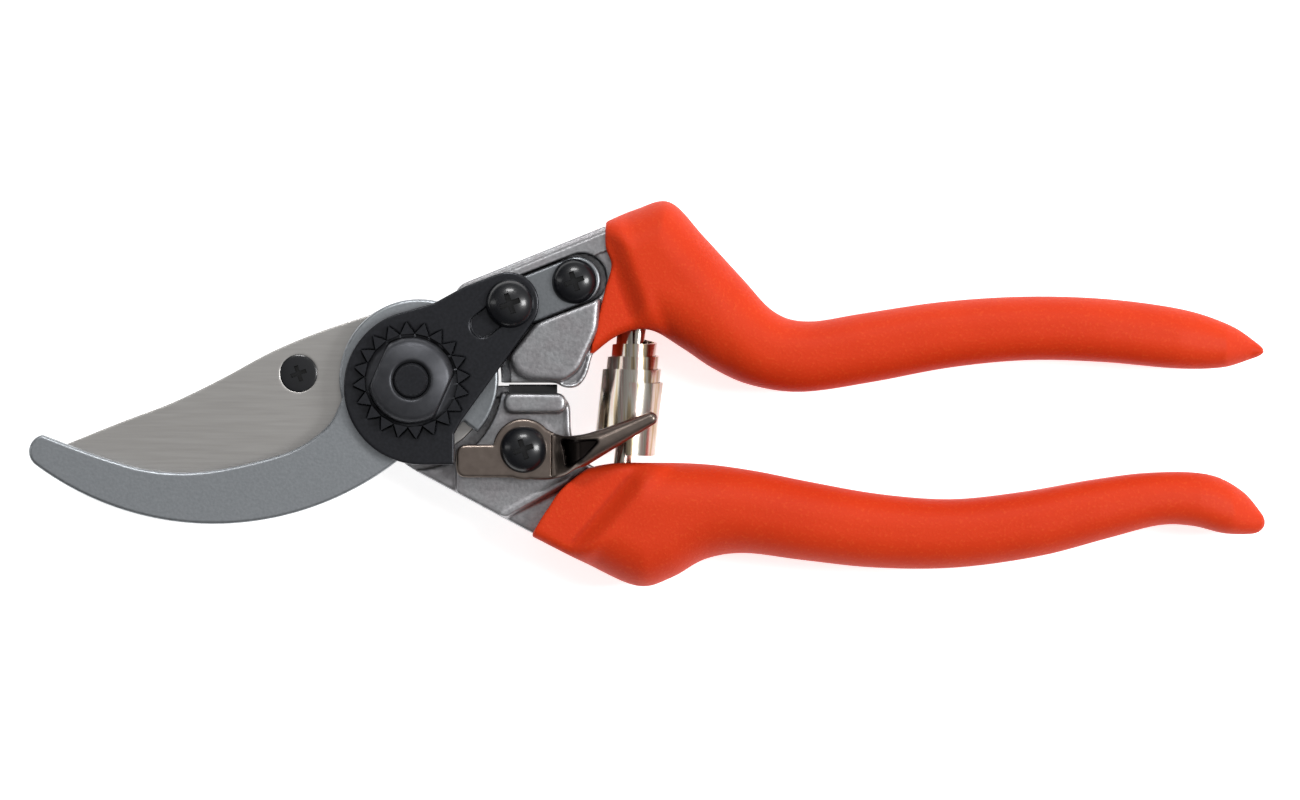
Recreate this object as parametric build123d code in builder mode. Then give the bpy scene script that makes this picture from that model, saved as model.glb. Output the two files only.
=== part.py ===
"""Bypass pruning shears with forged handles, a thick hooked counter blade, a volute spring and a thumb catch.

The shears lie flat and closed. The pivot stands on the Z axis, the jaws point along -X, the grips along +X,
and the flat back of the pivot bolt's head rests on Z = 0. All sizes are in millimetres.
"""

import os
from math import cos, hypot, radians, sin

from build123d import *

# ------------------------------------------------ driving dimensions
# The stack along the pivot, from the back upwards
HEAD_THICK = 3.2  # pivot bolt's head
WASHER_THICK = 0.8  # thrust washer under the head
ARM_THICK = 4.0  # lower handle's boss and blade arm
BLADE_THICK = 3.2
HOOK_THICK = 3.6
PLATE_THICK = 2.0  # lock plate
RUN_GAP = 0.05  # between faces that slide on each other
PIN_GAP = 0.05  # radial play of a pin or screw in its hole
SEAT_GAP = 0.3  # between a soft or sprung piece and its neighbour

# Pivot hardware
HEAD_RADIUS = 8.5
SHANK_RADIUS = 4.5
KEY_WIDTH = 7.0  # across the shank's two flats, which turn the bolt with the hook
THREAD_RADIUS = 3.0
NUT_TEETH = 20
TOOTH_TIP_RADIUS = 10.1
TOOTH_ROOT_RADIUS = 8.0
FLANGE_THICK = 2.2
NUT_DOME_RADIUS = 7.4
NUT_HEIGHT = 5.7
NUT_FLATS = 12.3
NUT_FLAT_ANGLE = -24.0
BOLT_STAND_OUT = 0.3

# Jaws
JAW_REACH = 66.3  # pivot to the hook's tip
BOSS_RADIUS = 13.6  # lower handle's boss
BLADE_BOSS_RADIUS = 13.4
HOOK_BOSS_RADIUS = 13.75
HOOK_BOSS_AT = (1.2, 0.3)
HOOK_SWEEP_RADIUS = 15.6  # the handles leave this free round the hook's boss
BLADE_BEVEL = 5.0  # width of the ground bevel on the back of the cutting edge
BLADE_EDGE = 0.4  # thickness left at the cutting edge

# Grips and handles
HANDLE_REACH = 148.6  # pivot to the end of the grips
GRIP_DEPTH = 18.4  # along the pivot
GRIP_LIFT = 0.1  # the grips' sides lie this far above the bolt head's face
GRIP_WALL = 1.0
MOUTH_INSET = 0.02  # share of the mouth by which the bodies stay inside the grips' rims
GRIP_BOND = 0.05  # between a grip and the core that it is dipped on
GRIP_CORNER = 5.8
SHOULDER_X = 45.0  # the grips keep their shape up to here and stretch beyond it

# Fixings
BLADE_SCREW_AT = (-19.7, 1.2)
BLADE_SCREW_HEAD_RADIUS = 3.3
TANG_SCREW_AT = (28.1, 17.1)
PAN_HEAD_RADIUS = 3.9
LOCK_SCREW_AT = (17.0, 13.2)
LOCK_HEAD_RADIUS = 4.2
CATCH_AT = (19.3, -11.9)
CATCH_HEAD_RADIUS = 4.1
SCREW_RADIUS = 2.0
SHOULDER_RADIUS = 2.8  # the catch turns on this shoulder

# Hook tang, which lies in a channel of the upper handle
TANG_ANGLE = 21.5
TANG_OFFSET = 5.65  # from the pivot to the tang's centre line
TANG_WIDTH = 8.2
TANG_GAP = 0.3

# Catch
CATCH_THICK = 2.4
CATCH_WASHER_THICK = 0.3
CATCH_LIFT = 0.2  # the catch's seat lies this much above the hook's back
CATCH_COLLAR_RADIUS = 5.3
CATCH_TONGUE_REACH = 11.7
TONGUE_CORNER = 2.0
NOTCH_WALL_ANGLE = -56.5
NOTCH_SPAN = 18.0
NOTCH_FLOOR_RADIUS = 11.3
LUG_RADIUS = 13.5
LUG_SPAN = 12.0
RELIEF_END_ANGLE = -99.0

# Spring
SPRING_ORBIT = 37.7  # pivot to the spring's axis
SPRING_ANGLE = -6.4
SPRING_STRIP = 0.5
SPRING_PITCH = 0.62  # radial, from turn to turn
SPRING_TURNS = 4.0
SPRING_INNER_RADIUS = 2.9
PEG_RADIUS = 1.5
PEG_STAND_OUT = 3.5
PEG_DEPTH = 6.0
ARCH_Y = 8.8  # upper grip's underside at the spring
DECK_Y = -14.3  # lower grip's top at the spring

# The outlines below are drawn for these sizes and follow when the sizes above change
DRAWN_REACH = 148.6
DRAWN_JAW_REACH = 66.3
DRAWN_DEPTH = 18.4

# Small sizes
RECESS_DEPTH = 1.3  # cross recesses in the screws
RECESS_SLOT = 0.9
RECESS_TURN = 20.0
HEAD_CHAMFER = 0.8
KEY_SHORT = 0.2  # the bolt's key stops short of the hook's face
BOLT_CHAMFER = 0.5
NUT_ROUND = 1.6
TOOTH_ANGLE = 94.8
TOOTH_GAP = 0.2
PLATE_CHAMFER = 0.3
HOOK_CHAMFER = 0.4
LOCK_ARM_ANGLE = 37.8
SLOT_TRAVEL = 6.0
SLOT_GAP = 0.15
BODY_GAP = 0.15
BODY_TOP_Y = -2.1  # lower body's edge under the bumper
BUMPER_TOP_Y = -0.7
BUMPER_X = 20.9
BUMPER_LENGTH = 8.4
BUMPER_ROOT = 2.4
BUMPER_HEIGHT = 6.5
BUMPER_ROUND = 0.4
STEP_X = 7.6  # where the lower body steps up
STEP_DEPTH = 0.9
PAD_HEIGHT = 2.6
FRONT_RADIUS = 17.0  # upper body's hollow front, round the pivot
PAN_HEIGHT = 2.5
SCREW_END_Z = 6.0
TONGUE_WIDTH = 5.7
CATCH_WASHER_RADIUS = 4.4
CATCH_DEPTH_OFFSET = 60.0
LEVER_THICK = 4.2
LEVER_DROP = 1.6  # the lever's underside lies this much below the grips' front
SPRING_WIDTH = 13.0

# ------------------------------------------------ heights worked out from the stack
ARM_Z = HEAD_THICK + WASHER_THICK + RUN_GAP
BLADE_Z = ARM_Z + ARM_THICK
HOOK_Z = BLADE_Z + BLADE_THICK + RUN_GAP
PLATE_Z = HOOK_Z + HOOK_THICK
MID_Z = GRIP_DEPTH / 2 + GRIP_LIFT
WEB_BACK_Z = 2 * MID_Z - PLATE_Z
CATCH_SEAT_Z = HOOK_Z + CATCH_LIFT
CATCH_Z = CATCH_SEAT_Z + CATCH_WASHER_THICK
NUT_TOP_Z = PLATE_Z + NUT_HEIGHT
RECESS_Z = CATCH_SEAT_Z - STEP_DEPTH
BUMPER_Z = MID_Z - BUMPER_HEIGHT / 2
LEVER_Z = MID_Z + GRIP_DEPTH / 2 - LEVER_DROP
LEVER_TOP_Z = LEVER_Z + LEVER_THICK
SPRING_OUTER_RADIUS = SPRING_INNER_RADIUS + SPRING_TURNS * SPRING_PITCH
STRETCH = (HANDLE_REACH - SHOULDER_X) / (DRAWN_REACH - SHOULDER_X)
JAW_STRETCH = JAW_REACH / DRAWN_JAW_REACH


def polar(radius, angle, centre=(0, 0)):
    """A point at a radius and an angle in degrees round a centre."""
    return (centre[0] + radius * cos(radians(angle)), centre[1] + radius * sin(radians(angle)))


def jaw(x, y):
    """A point of a jaw's outline, which stretches with the reach of the jaws."""
    return (x * JAW_STRETCH, y)


def save(builder, name):
    """Labels a finished piece and writes it as one STEP file."""
    os.makedirs("parts", exist_ok=True)
    builder.part.label = name
    export_step(builder.part, f"parts/{name}.step")


# ------------------------------------------------ grips: stations along each handle
# Each station is (outer point, inner point, depth). The outline runs through the points on both sides.
UPPER_STATIONS = [
    ((33.5, 27.4), (30.5, 4.0), 13.6),
    ((38.6, 29.6), (35.6, 7.8), 14.4),
    ((44.6, 30.9), (41.0, ARCH_Y), 16.6),
    ((50.5, 24.9), (46.6, 5.7), 18.0),
    ((57.1, 17.7), (52.2, 2.0), 18.4),
    ((62.6, 11.9), (58.6, -0.8), 18.4),
    ((68.5, 10.2), (67.5, -2.0), 18.4),
    ((78.0, 11.6), (79.6, -0.3), 18.4),
    ((91.7, 13.6), (93.0, 2.2), 18.4),
    ((106.0, 14.5), (106.5, 3.5), 18.4),
    ((120.0, 14.1), (119.5, 3.2), 17.6),
    ((133.3, 12.3), (132.0, 2.1), 15.4),
    ((141.5, 9.6), (140.0, 2.3), 12.0),
    ((147.6, 6.2), (147.0, 4.2), 5.0),
]
LOWER_STATIONS = [
    ((20.6, -26.9), (31.4, -14.9), 10.6),
    ((29.5, -31.4), (35.6, DECK_Y), 14.0),
    ((38.9, -35.7), (40.8, DECK_Y), 16.6),
    ((45.0, -34.1), (46.6, DECK_Y), 18.0),
    ((50.6, -31.0), (52.6, -14.7), 18.4),
    ((57.4, -29.9), (60.0, -15.8), 18.4),
    ((67.5, -31.1), (69.0, -17.6), 18.4),
    ((80.0, -32.4), (81.0, -19.7), 18.4),
    ((94.0, -32.4), (93.5, -20.6), 18.4),
    ((108.5, -30.4), (106.0, -19.3), 18.4),
    ((120.0, -27.4), (117.5, -17.3), 17.4),
    ((129.0, -25.1), (127.8, -16.0), 15.6),
    ((135.0, -25.2), (137.5, -16.2), 13.8),
    ((140.6, -26.6), (143.8, -18.9), 11.4),
    ((145.6, -26.9), (147.8, -23.0), 6.0),
]


def along_handle(point):
    """A station's point, moved along X beyond the shoulder as the handle's reach changes."""
    x, y = point
    return (SHOULDER_X + (x - SHOULDER_X) * STRETCH, y) if x > SHOULDER_X else point


def handle_sections(stations, inset):
    """The cross-sections of a handle at its stations, drawn in by an inset on every side."""
    sections = []
    for outer, inner, depth in stations:
        (ox, oy), (ix, iy) = along_handle(outer), along_handle(inner)
        width = hypot(ox - ix, oy - iy)
        deep = depth * GRIP_DEPTH / DRAWN_DEPTH
        corner = min(0.46 * min(width, deep), GRIP_CORNER)
        across = (ox - ix, oy - iy, 0)
        onward = (across[1], -across[0], 0) if across[1] > 0 else (-across[1], across[0], 0)
        middle = ((ox + ix) / 2, (oy + iy) / 2, MID_Z)
        with BuildSketch(Plane(origin=middle, x_dir=across, z_dir=onward)) as section:
            RectangleRounded(width - 2 * inset, deep - 2 * inset, corner - inset)
        sections.append(section.sketch)
    return sections


# ------------------------------------------------ the hook's tang
TANG_DIRECTION = polar(1, TANG_ANGLE)
TANG_NORMAL = polar(1, TANG_ANGLE + 90)


def on_tang(along, aside):
    """A point measured along the tang from the pivot, and aside from the pivot."""
    return (
        along * TANG_DIRECTION[0] + aside * TANG_NORMAL[0],
        along * TANG_DIRECTION[1] + aside * TANG_NORMAL[1],
    )


TANG_END = TANG_SCREW_AT[0] * TANG_DIRECTION[0] + TANG_SCREW_AT[1] * TANG_DIRECTION[1] + 0.5


def tang_outline(half_width, start, height):
    """The tang's outline at a height, from a start along it to its round end."""
    low, high = TANG_OFFSET - half_width, TANG_OFFSET + half_width
    with BuildSketch(Plane.XY.offset(height)) as outline:
        with BuildLine():
            Polyline(
                on_tang(TANG_END, high),
                on_tang(start, high),
                on_tang(start, low),
                on_tang(TANG_END, low),
            )
            ThreePointArc(
                on_tang(TANG_END, low),
                on_tang(TANG_END + half_width, TANG_OFFSET),
                on_tang(TANG_END, high),
            )
        make_face()
    return outline.sketch


# ------------------------------------------------ spring axis
SPRING_CENTRE = polar(SPRING_ORBIT, SPRING_ANGLE)
SPRING_DIRECTION = polar(1, SPRING_ANGLE + 90)


def on_spring(y):
    """The point of the spring's axis at a height y in plan."""
    step = (y - SPRING_CENTRE[1]) / SPRING_DIRECTION[1]
    return (SPRING_CENTRE[0] + step * SPRING_DIRECTION[0], y)


SPRING_FOOT = on_spring(DECK_Y + SEAT_GAP)
SPRING_HEAD = on_spring(ARCH_Y - SEAT_GAP)
SPRING_LENGTH = hypot(SPRING_HEAD[0] - SPRING_FOOT[0], SPRING_HEAD[1] - SPRING_FOOT[1])


def spring_plane(point, direction=1):
    """A plane square to the spring's axis at a point of the plan, at mid height."""
    return Plane(
        origin=(point[0], point[1], MID_Z),
        x_dir=(0, 0, 1),
        z_dir=(direction * SPRING_DIRECTION[0], direction * SPRING_DIRECTION[1], 0),
    )


def spiral_points(aside):
    """Points of the spring's spiral in its cross-section, moved out by half the strip."""
    points = []
    for step in range(int(SPRING_TURNS * 12) + 1):
        radius = SPRING_INNER_RADIUS + SPRING_PITCH * step / 12 + aside
        points.append(polar(radius, 30 * step))
    return points


def on_mouth(stations, share):
    """A point on the straight mouth of a grip, at a share of the way from its outer to its inner edge."""
    (ox, oy), (ix, iy) = stations[0][0], stations[0][1]
    return (ox + share * (ix - ox), oy + share * (iy - oy))


def lower_body_outline():
    """The lower handle's body, from the pivot to the mouth of its grip."""
    with BuildSketch() as outline:
        with BuildLine():
            Polyline(
                (0, 0),
                (-4.0, -12.4),
                (-0.6, -15.1),
                on_mouth(LOWER_STATIONS, MOUTH_INSET),
                on_mouth(LOWER_STATIONS, 1 - MOUTH_INSET),
                (28.4, -12.2),
                (27.4, -9.0),
                (27.2, -4.4),
            )
            ThreePointArc((27.2, -4.4), (26.6, -2.7), (25.2, BODY_TOP_Y))
            Polyline((25.2, BODY_TOP_Y), (10.0, BODY_TOP_Y), (0, 0))
        make_face()
    return outline.sketch


def cross_recess(head_top, centre, size):
    """The cross-shaped recess of a screw head, as a solid to cut."""
    with BuildPart(mode=Mode.PRIVATE) as recess:
        with BuildSketch(Plane.XY.offset(head_top - RECESS_DEPTH)):
            with Locations(centre):
                Rectangle(size, RECESS_SLOT, rotation=RECESS_TURN)
                Rectangle(RECESS_SLOT, size, rotation=RECESS_TURN)
        extrude(amount=2 * RECESS_DEPTH)
    return recess.part


def pan_screw(centre, head_base, head_radius, head_height, shank_end, shank_radius):
    """A pan-head screw that points down, with its head's underside at a height."""
    with BuildPart(mode=Mode.PRIVATE) as screw:
        with BuildSketch(Plane.XY.offset(head_base)):
            with Locations(centre):
                Circle(head_radius)
        extrude(amount=head_height)
        fillet(screw.edges().group_by(Axis.Z)[-1], 0.6 * head_height)
        with BuildSketch(Plane.XY.offset(shank_end)):
            with Locations(centre):
                Circle(shank_radius)
        extrude(amount=head_base - shank_end)
        add(cross_recess(head_base + head_height, centre, 1.1 * head_radius), mode=Mode.SUBTRACT)
    return screw.part


def toothed_outline(tip_radius, root_radius, height):
    """The outline of the nut's teeth at a height."""
    pitch = 360 / NUT_TEETH
    points = []
    for tooth in range(NUT_TEETH):
        points.append(polar(tip_radius, TOOTH_ANGLE + tooth * pitch))
        points.append(polar(root_radius, TOOTH_ANGLE + (tooth + 0.5) * pitch))
    with BuildSketch(Plane.XY.offset(height)) as outline:
        with BuildLine():
            Polyline(*points, close=True)
        make_face()
    return outline.sketch


def wedge(inner_radius, start, end, height):
    """A sector of a ring round the pivot, from an inner radius out past the hook's boss."""
    outer_radius = 1.5 * HOOK_SWEEP_RADIUS
    middle = (start + end) / 2
    with BuildSketch(Plane.XY.offset(height)) as sector:
        with BuildLine():
            ThreePointArc(*[polar(inner_radius, angle) for angle in (start, middle, end)])
            Line(polar(inner_radius, end), polar(outer_radius, end))
            ThreePointArc(*[polar(outer_radius, angle) for angle in (end, middle, start)])
            Line(polar(outer_radius, start), polar(inner_radius, start))
        make_face()
    return sector.sketch


# ------------------------------------------------ pivot hardware
with BuildPart() as pivot_bolt:
    with BuildSketch():
        Circle(HEAD_RADIUS)
    extrude(amount=HEAD_THICK)
    chamfer(pivot_bolt.edges().group_by(Axis.Z)[0], HEAD_CHAMFER)
    with BuildSketch(Plane.XY.offset(HEAD_THICK)):
        Circle(SHANK_RADIUS)
    extrude(amount=HOOK_Z - HEAD_THICK)
    with BuildSketch(Plane.XY.offset(HOOK_Z)):
        Circle(SHANK_RADIUS)
        Rectangle(2 * SHANK_RADIUS, KEY_WIDTH, mode=Mode.INTERSECT)
    extrude(amount=HOOK_THICK - KEY_SHORT)
    with BuildSketch(Plane.XY.offset(PLATE_Z - KEY_SHORT)):
        Circle(THREAD_RADIUS)
    extrude(amount=KEY_SHORT + NUT_HEIGHT + BOLT_STAND_OUT)
    chamfer(pivot_bolt.edges().group_by(Axis.Z)[-1], BOLT_CHAMFER)
save(pivot_bolt, "pivot_bolt")

with BuildPart() as pivot_washer:
    with BuildSketch(Plane.XY.offset(HEAD_THICK)):
        Circle(HEAD_RADIUS)
        Circle(SHANK_RADIUS + PIN_GAP, mode=Mode.SUBTRACT)
    extrude(amount=WASHER_THICK)
save(pivot_washer, "pivot_washer")

with BuildPart() as pivot_nut:
    extrude(toothed_outline(TOOTH_TIP_RADIUS, TOOTH_ROOT_RADIUS, PLATE_Z), amount=FLANGE_THICK)
    with BuildSketch(Plane.XY.offset(PLATE_Z + FLANGE_THICK)):
        Circle(NUT_DOME_RADIUS)
    extrude(amount=NUT_HEIGHT - FLANGE_THICK)
    fillet(pivot_nut.edges().group_by(Axis.Z)[-1], NUT_ROUND)
    with BuildSketch(Plane.XY.offset(PLATE_Z + FLANGE_THICK)):
        Circle(2 * NUT_DOME_RADIUS)
        Rectangle(NUT_FLATS, 4 * NUT_DOME_RADIUS, rotation=NUT_FLAT_ANGLE, mode=Mode.SUBTRACT)
    extrude(amount=NUT_HEIGHT, mode=Mode.SUBTRACT)
    with Locations((0, 0, NUT_TOP_Z)):
        thread, mouth = THREAD_RADIUS + PIN_GAP, THREAD_RADIUS + BOLT_CHAMFER
        CounterSinkHole(thread, mouth, counter_sink_angle=90)
save(pivot_nut, "pivot_nut")

# ------------------------------------------------ lock plate, which meshes with the nut's teeth
with BuildPart() as lock_plate:
    arm_x, arm_y = LOCK_SCREW_AT
    with BuildSketch(Plane.XY.offset(PLATE_Z)):
        with BuildLine():
            ThreePointArc((-2.4, 11.6), (-11.7, -1.4), (1.4, -14.6))
            Polyline((1.4, -14.6), (7.4, -14.6), (7.4, -9.2), (8.6, -7.0), (arm_x + 4.2, arm_y - 2.8))
            ThreePointArc(
                (arm_x + 4.2, arm_y - 2.8),
                (arm_x + 3.9, arm_y + 3.4),
                (arm_x - 2.5, arm_y + 5.1),
            )
            Polyline((arm_x - 2.5, arm_y + 5.1), (9.1, 16.2), (4.0, 13.4), (-2.4, 11.6))
        make_face()
    extrude(amount=PLATE_THICK)
    chamfer(lock_plate.edges().group_by(Axis.Z)[-1], PLATE_CHAMFER)
    opening = toothed_outline(TOOTH_TIP_RADIUS + TOOTH_GAP, TOOTH_ROOT_RADIUS + TOOTH_GAP, PLATE_Z)
    extrude(opening, amount=PLATE_THICK, mode=Mode.SUBTRACT)
    with BuildSketch(Plane.XY.offset(PLATE_Z)):
        slot_width = 2 * (SCREW_RADIUS + SLOT_GAP)
        with Locations(polar(hypot(arm_x, arm_y) - SLOT_TRAVEL / 2, LOCK_ARM_ANGLE)):
            SlotCenterToCenter(SLOT_TRAVEL, slot_width, rotation=LOCK_ARM_ANGLE)
    extrude(amount=PLATE_THICK, mode=Mode.SUBTRACT)
save(lock_plate, "lock_plate")

# ------------------------------------------------ hook: counter blade, boss and tang in one forging
with BuildPart() as counter_blade:
    with BuildSketch(Plane.XY.offset(HOOK_Z)):
        with BuildLine():
            ThreePointArc(jaw(-64.8, -14.8), jaw(-66.3, -12.1), jaw(-63.9, -9.4))
            Spline(
                jaw(-63.9, -9.4),
                jaw(-54.6, -12.9),
                jaw(-46.0, -15.4),
                jaw(-38.0, -15.9),
                jaw(-29.8, -14.7),
                jaw(-20.5, -12.0),
                jaw(-14.6, -7.9),
                (-12.0, -3.2),
            )
            Polyline((-12.0, -3.2), (0, 0), (-2.6, -14.0))
            ThreePointArc((-2.6, -14.0), jaw(-36.0, -24.8), jaw(-64.8, -14.8))
        make_face()
        with Locations(HOOK_BOSS_AT):
            Circle(HOOK_BOSS_RADIUS)
        swept = wedge(LUG_RADIUS, RELIEF_END_ANGLE, NOTCH_WALL_ANGLE + NOTCH_SPAN, 0)
        add(swept, mode=Mode.SUBTRACT)
        notch_end = NOTCH_WALL_ANGLE + NOTCH_SPAN
        add(wedge(NOTCH_FLOOR_RADIUS, NOTCH_WALL_ANGLE, notch_end, 0), mode=Mode.SUBTRACT)
        lug_end = NOTCH_WALL_ANGLE - LUG_SPAN
        add(wedge(NOTCH_FLOOR_RADIUS, RELIEF_END_ANGLE, lug_end, 0), mode=Mode.SUBTRACT)
        add(tang_outline(TANG_WIDTH / 2, HOOK_BOSS_RADIUS / 2, 0))
    extrude(amount=HOOK_THICK)
    long_edges = counter_blade.edges().group_by(Axis.Z)[-1].sort_by(SortBy.LENGTH)[-2:]
    chamfer(long_edges, HOOK_CHAMFER)
    with BuildSketch(Plane.XY.offset(HOOK_Z)):
        Circle(SHANK_RADIUS + PIN_GAP)
        Rectangle(2 * SHANK_RADIUS + 1, KEY_WIDTH + 2 * PIN_GAP, mode=Mode.INTERSECT)
        with Locations(TANG_SCREW_AT, LOCK_SCREW_AT):
            Circle(SCREW_RADIUS + PIN_GAP)
    extrude(amount=HOOK_THICK, mode=Mode.SUBTRACT)
save(counter_blade, "counter_blade")

# ------------------------------------------------ cutting blade, ground on its back
with BuildPart() as cutting_blade:
    with BuildSketch(Plane.XY.offset(BLADE_Z)):
        with BuildLine():
            Spline(
                jaw(-61.8, -11.8),
                jaw(-50.4, -7.2),
                jaw(-41.7, -3.9),
                jaw(-33.0, 0.3),
                jaw(-24.3, 5.0),
                jaw(-15.6, 8.6),
                (-6.6, 11.6),
            )
            Polyline((-6.6, 11.6), (0, 0), (-7.8, -10.8))
            Spline(
                (-7.8, -10.8),
                jaw(-17.0, -16.4),
                jaw(-26.0, -19.6),
                jaw(-36.0, -20.8),
                jaw(-46.0, -19.6),
                jaw(-55.0, -16.4),
                jaw(-61.8, -11.8),
            )
        make_face()
        Circle(BLADE_BOSS_RADIUS)
    extrude(amount=BLADE_THICK)
    cutting_edge = cutting_blade.edges().group_by(Axis.Z)[0].sort_by(Axis.Y)[0]
    back = cutting_blade.faces().sort_by(Axis.Z)[0]
    chamfer(cutting_edge, BLADE_BEVEL, BLADE_THICK - BLADE_EDGE, reference=back)
    with BuildSketch(Plane.XY.offset(BLADE_Z)):
        Circle(SHANK_RADIUS + PIN_GAP)
    extrude(amount=BLADE_THICK, mode=Mode.SUBTRACT)
    with Locations((*BLADE_SCREW_AT, BLADE_Z + BLADE_THICK)):
        shank, rim = SCREW_RADIUS + PIN_GAP, BLADE_SCREW_HEAD_RADIUS + PIN_GAP
        CounterSinkHole(shank, rim, counter_sink_angle=90)
save(cutting_blade, "cutting_blade")

with BuildPart() as blade_screw:
    with BuildSketch(Plane.XY.offset(ARM_Z)):
        with Locations(BLADE_SCREW_AT):
            Circle(SCREW_RADIUS)
    extrude(amount=ARM_THICK + BLADE_THICK)
    head_base = BLADE_Z + BLADE_THICK - (BLADE_SCREW_HEAD_RADIUS - SCREW_RADIUS)
    with Locations((*BLADE_SCREW_AT, head_base)):
        Cone(
            SCREW_RADIUS,
            BLADE_SCREW_HEAD_RADIUS,
            BLADE_SCREW_HEAD_RADIUS - SCREW_RADIUS,
            align=(Align.CENTER, Align.CENTER, Align.MIN),
        )
    recess = cross_recess(BLADE_Z + BLADE_THICK, BLADE_SCREW_AT, 1.2 * BLADE_SCREW_HEAD_RADIUS)
    add(recess, mode=Mode.SUBTRACT)
save(blade_screw, "blade_screw")

# ------------------------------------------------ lower handle: boss, blade arm, body and grip core
with BuildPart() as lower_handle:
    with BuildSketch(Plane.XY.offset(ARM_Z)):
        Circle(BOSS_RADIUS)
        with BuildLine():
            Polyline((0, 12.4), (-20.6, 5.0), (-20.6, -3.8), (-7.0, -11.2), (0, 0), (0, 12.4))
        make_face()
        with Locations((BLADE_SCREW_AT[0] - 1.0, BLADE_SCREW_AT[1] - 0.6)):
            Circle(4.4)
        add(lower_body_outline())
    extrude(amount=ARM_THICK)
    with BuildSketch(Plane.XY.offset(BLADE_Z)):
        add(lower_body_outline())
        Circle(BLADE_BOSS_RADIUS + BODY_GAP, mode=Mode.SUBTRACT)
    extrude(amount=CATCH_SEAT_Z - BLADE_Z)
    with BuildSketch(Plane.XY.offset(CATCH_SEAT_Z)):
        with Locations((21.3, -3.85)):
            RectangleRounded(10.4, 3.4, 1.5)
    extrude(amount=PAD_HEIGHT)
    with BuildSketch(Plane.XY.offset(HOOK_Z - BODY_GAP)):
        Circle(HOOK_SWEEP_RADIUS)
    extrude(amount=PLATE_Z, mode=Mode.SUBTRACT)
    with BuildSketch(Plane.XY.offset(RECESS_Z)):
        with Locations((STEP_X, 0)):
            Rectangle(30, 60, align=(Align.MAX, Align.CENTER))
        with BuildLine():
            Polyline((17.2, -23.4), (27.6, -17.4), (40, -17.4), (40, -40), (17.2, -40), (17.2, -23.4))
        make_face()
    extrude(amount=PLATE_Z, mode=Mode.SUBTRACT)
    loft(handle_sections(LOWER_STATIONS[:-1], GRIP_WALL + GRIP_BOND))
    with BuildSketch(Plane.XY.offset(BUMPER_Z)):
        with Locations((BUMPER_X, BODY_TOP_Y)):
            Rectangle(BUMPER_LENGTH, 2 * BUMPER_ROOT)
    extrude(amount=BUMPER_HEIGHT, mode=Mode.SUBTRACT)
    with BuildSketch(Plane.XY):
        Circle(SHANK_RADIUS + PIN_GAP)
        with Locations(BLADE_SCREW_AT, CATCH_AT):
            Circle(SCREW_RADIUS + PIN_GAP)
    extrude(amount=PLATE_Z, mode=Mode.SUBTRACT)
    with BuildSketch(spring_plane(on_spring(DECK_Y + 1), -1)):
        Circle(PEG_RADIUS + PIN_GAP)
    extrude(amount=PEG_DEPTH + 1 + PIN_GAP, mode=Mode.SUBTRACT)
save(lower_handle, "lower_handle")

# ------------------------------------------------ upper handle: channelled body and grip core
with BuildPart() as upper_handle:
    with BuildSketch(Plane.XY.offset(WEB_BACK_Z)):
        with BuildLine():
            Polyline(
                on_mouth(UPPER_STATIONS, 1 - MOUTH_INSET),
                on_mouth(UPPER_STATIONS, MOUTH_INSET),
                (9.3, 16.7),
                (5.0, 10.0),
                (12.0, -0.4),
                (25.0, BUMPER_TOP_Y + SEAT_GAP),
                (26.2, -1.3),
                (28.4, -1.3),
                (30.0, 0.6),
                on_mouth(UPPER_STATIONS, 1 - MOUTH_INSET),
            )
        make_face()
        Circle(FRONT_RADIUS, mode=Mode.SUBTRACT)
    extrude(amount=PLATE_Z - WEB_BACK_Z)
    with BuildSketch(Plane.XY.offset(PLATE_Z)):
        with BuildLine():
            Polyline((17.5, 2.6), (19.4, 0.4), (28.2, 0.6), (31.0, 7.4), (22.2, 10.2), (17.5, 2.6))
        make_face()
    extrude(amount=PAD_HEIGHT - 1, taper=30)
    loft(handle_sections(UPPER_STATIONS[:-1], GRIP_WALL + GRIP_BOND))
    extrude(tang_outline(TANG_WIDTH / 2 + TANG_GAP, 0, HOOK_Z), amount=GRIP_DEPTH, mode=Mode.SUBTRACT)
    with BuildSketch(Plane.XY.offset(SCREW_END_Z)):
        with Locations(TANG_SCREW_AT, LOCK_SCREW_AT):
            Circle(SCREW_RADIUS + PIN_GAP)
    extrude(amount=HOOK_Z - SCREW_END_Z, mode=Mode.SUBTRACT)
    with BuildSketch(spring_plane(on_spring(ARCH_Y - 1))):
        Circle(PEG_RADIUS + PIN_GAP)
    extrude(amount=PEG_DEPTH + 1 + PIN_GAP, mode=Mode.SUBTRACT)
save(upper_handle, "upper_handle")

# ------------------------------------------------ dipped vinyl grips
with BuildPart() as upper_grip:
    loft(handle_sections(UPPER_STATIONS, 0))
    loft(handle_sections(UPPER_STATIONS[:-1], GRIP_WALL), mode=Mode.SUBTRACT)
    with BuildSketch(Plane.XY.offset(HOOK_Z)):
        with Locations(on_tang(TANG_END, TANG_OFFSET)):
            Circle(TANG_WIDTH / 2 + TANG_GAP + GRIP_WALL)
    extrude(amount=GRIP_DEPTH, mode=Mode.SUBTRACT)
    with BuildSketch(spring_plane(on_spring(ARCH_Y - 2))):
        Circle(PEG_RADIUS + SEAT_GAP)
    extrude(amount=PEG_DEPTH, mode=Mode.SUBTRACT)
save(upper_grip, "upper_grip")

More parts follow.
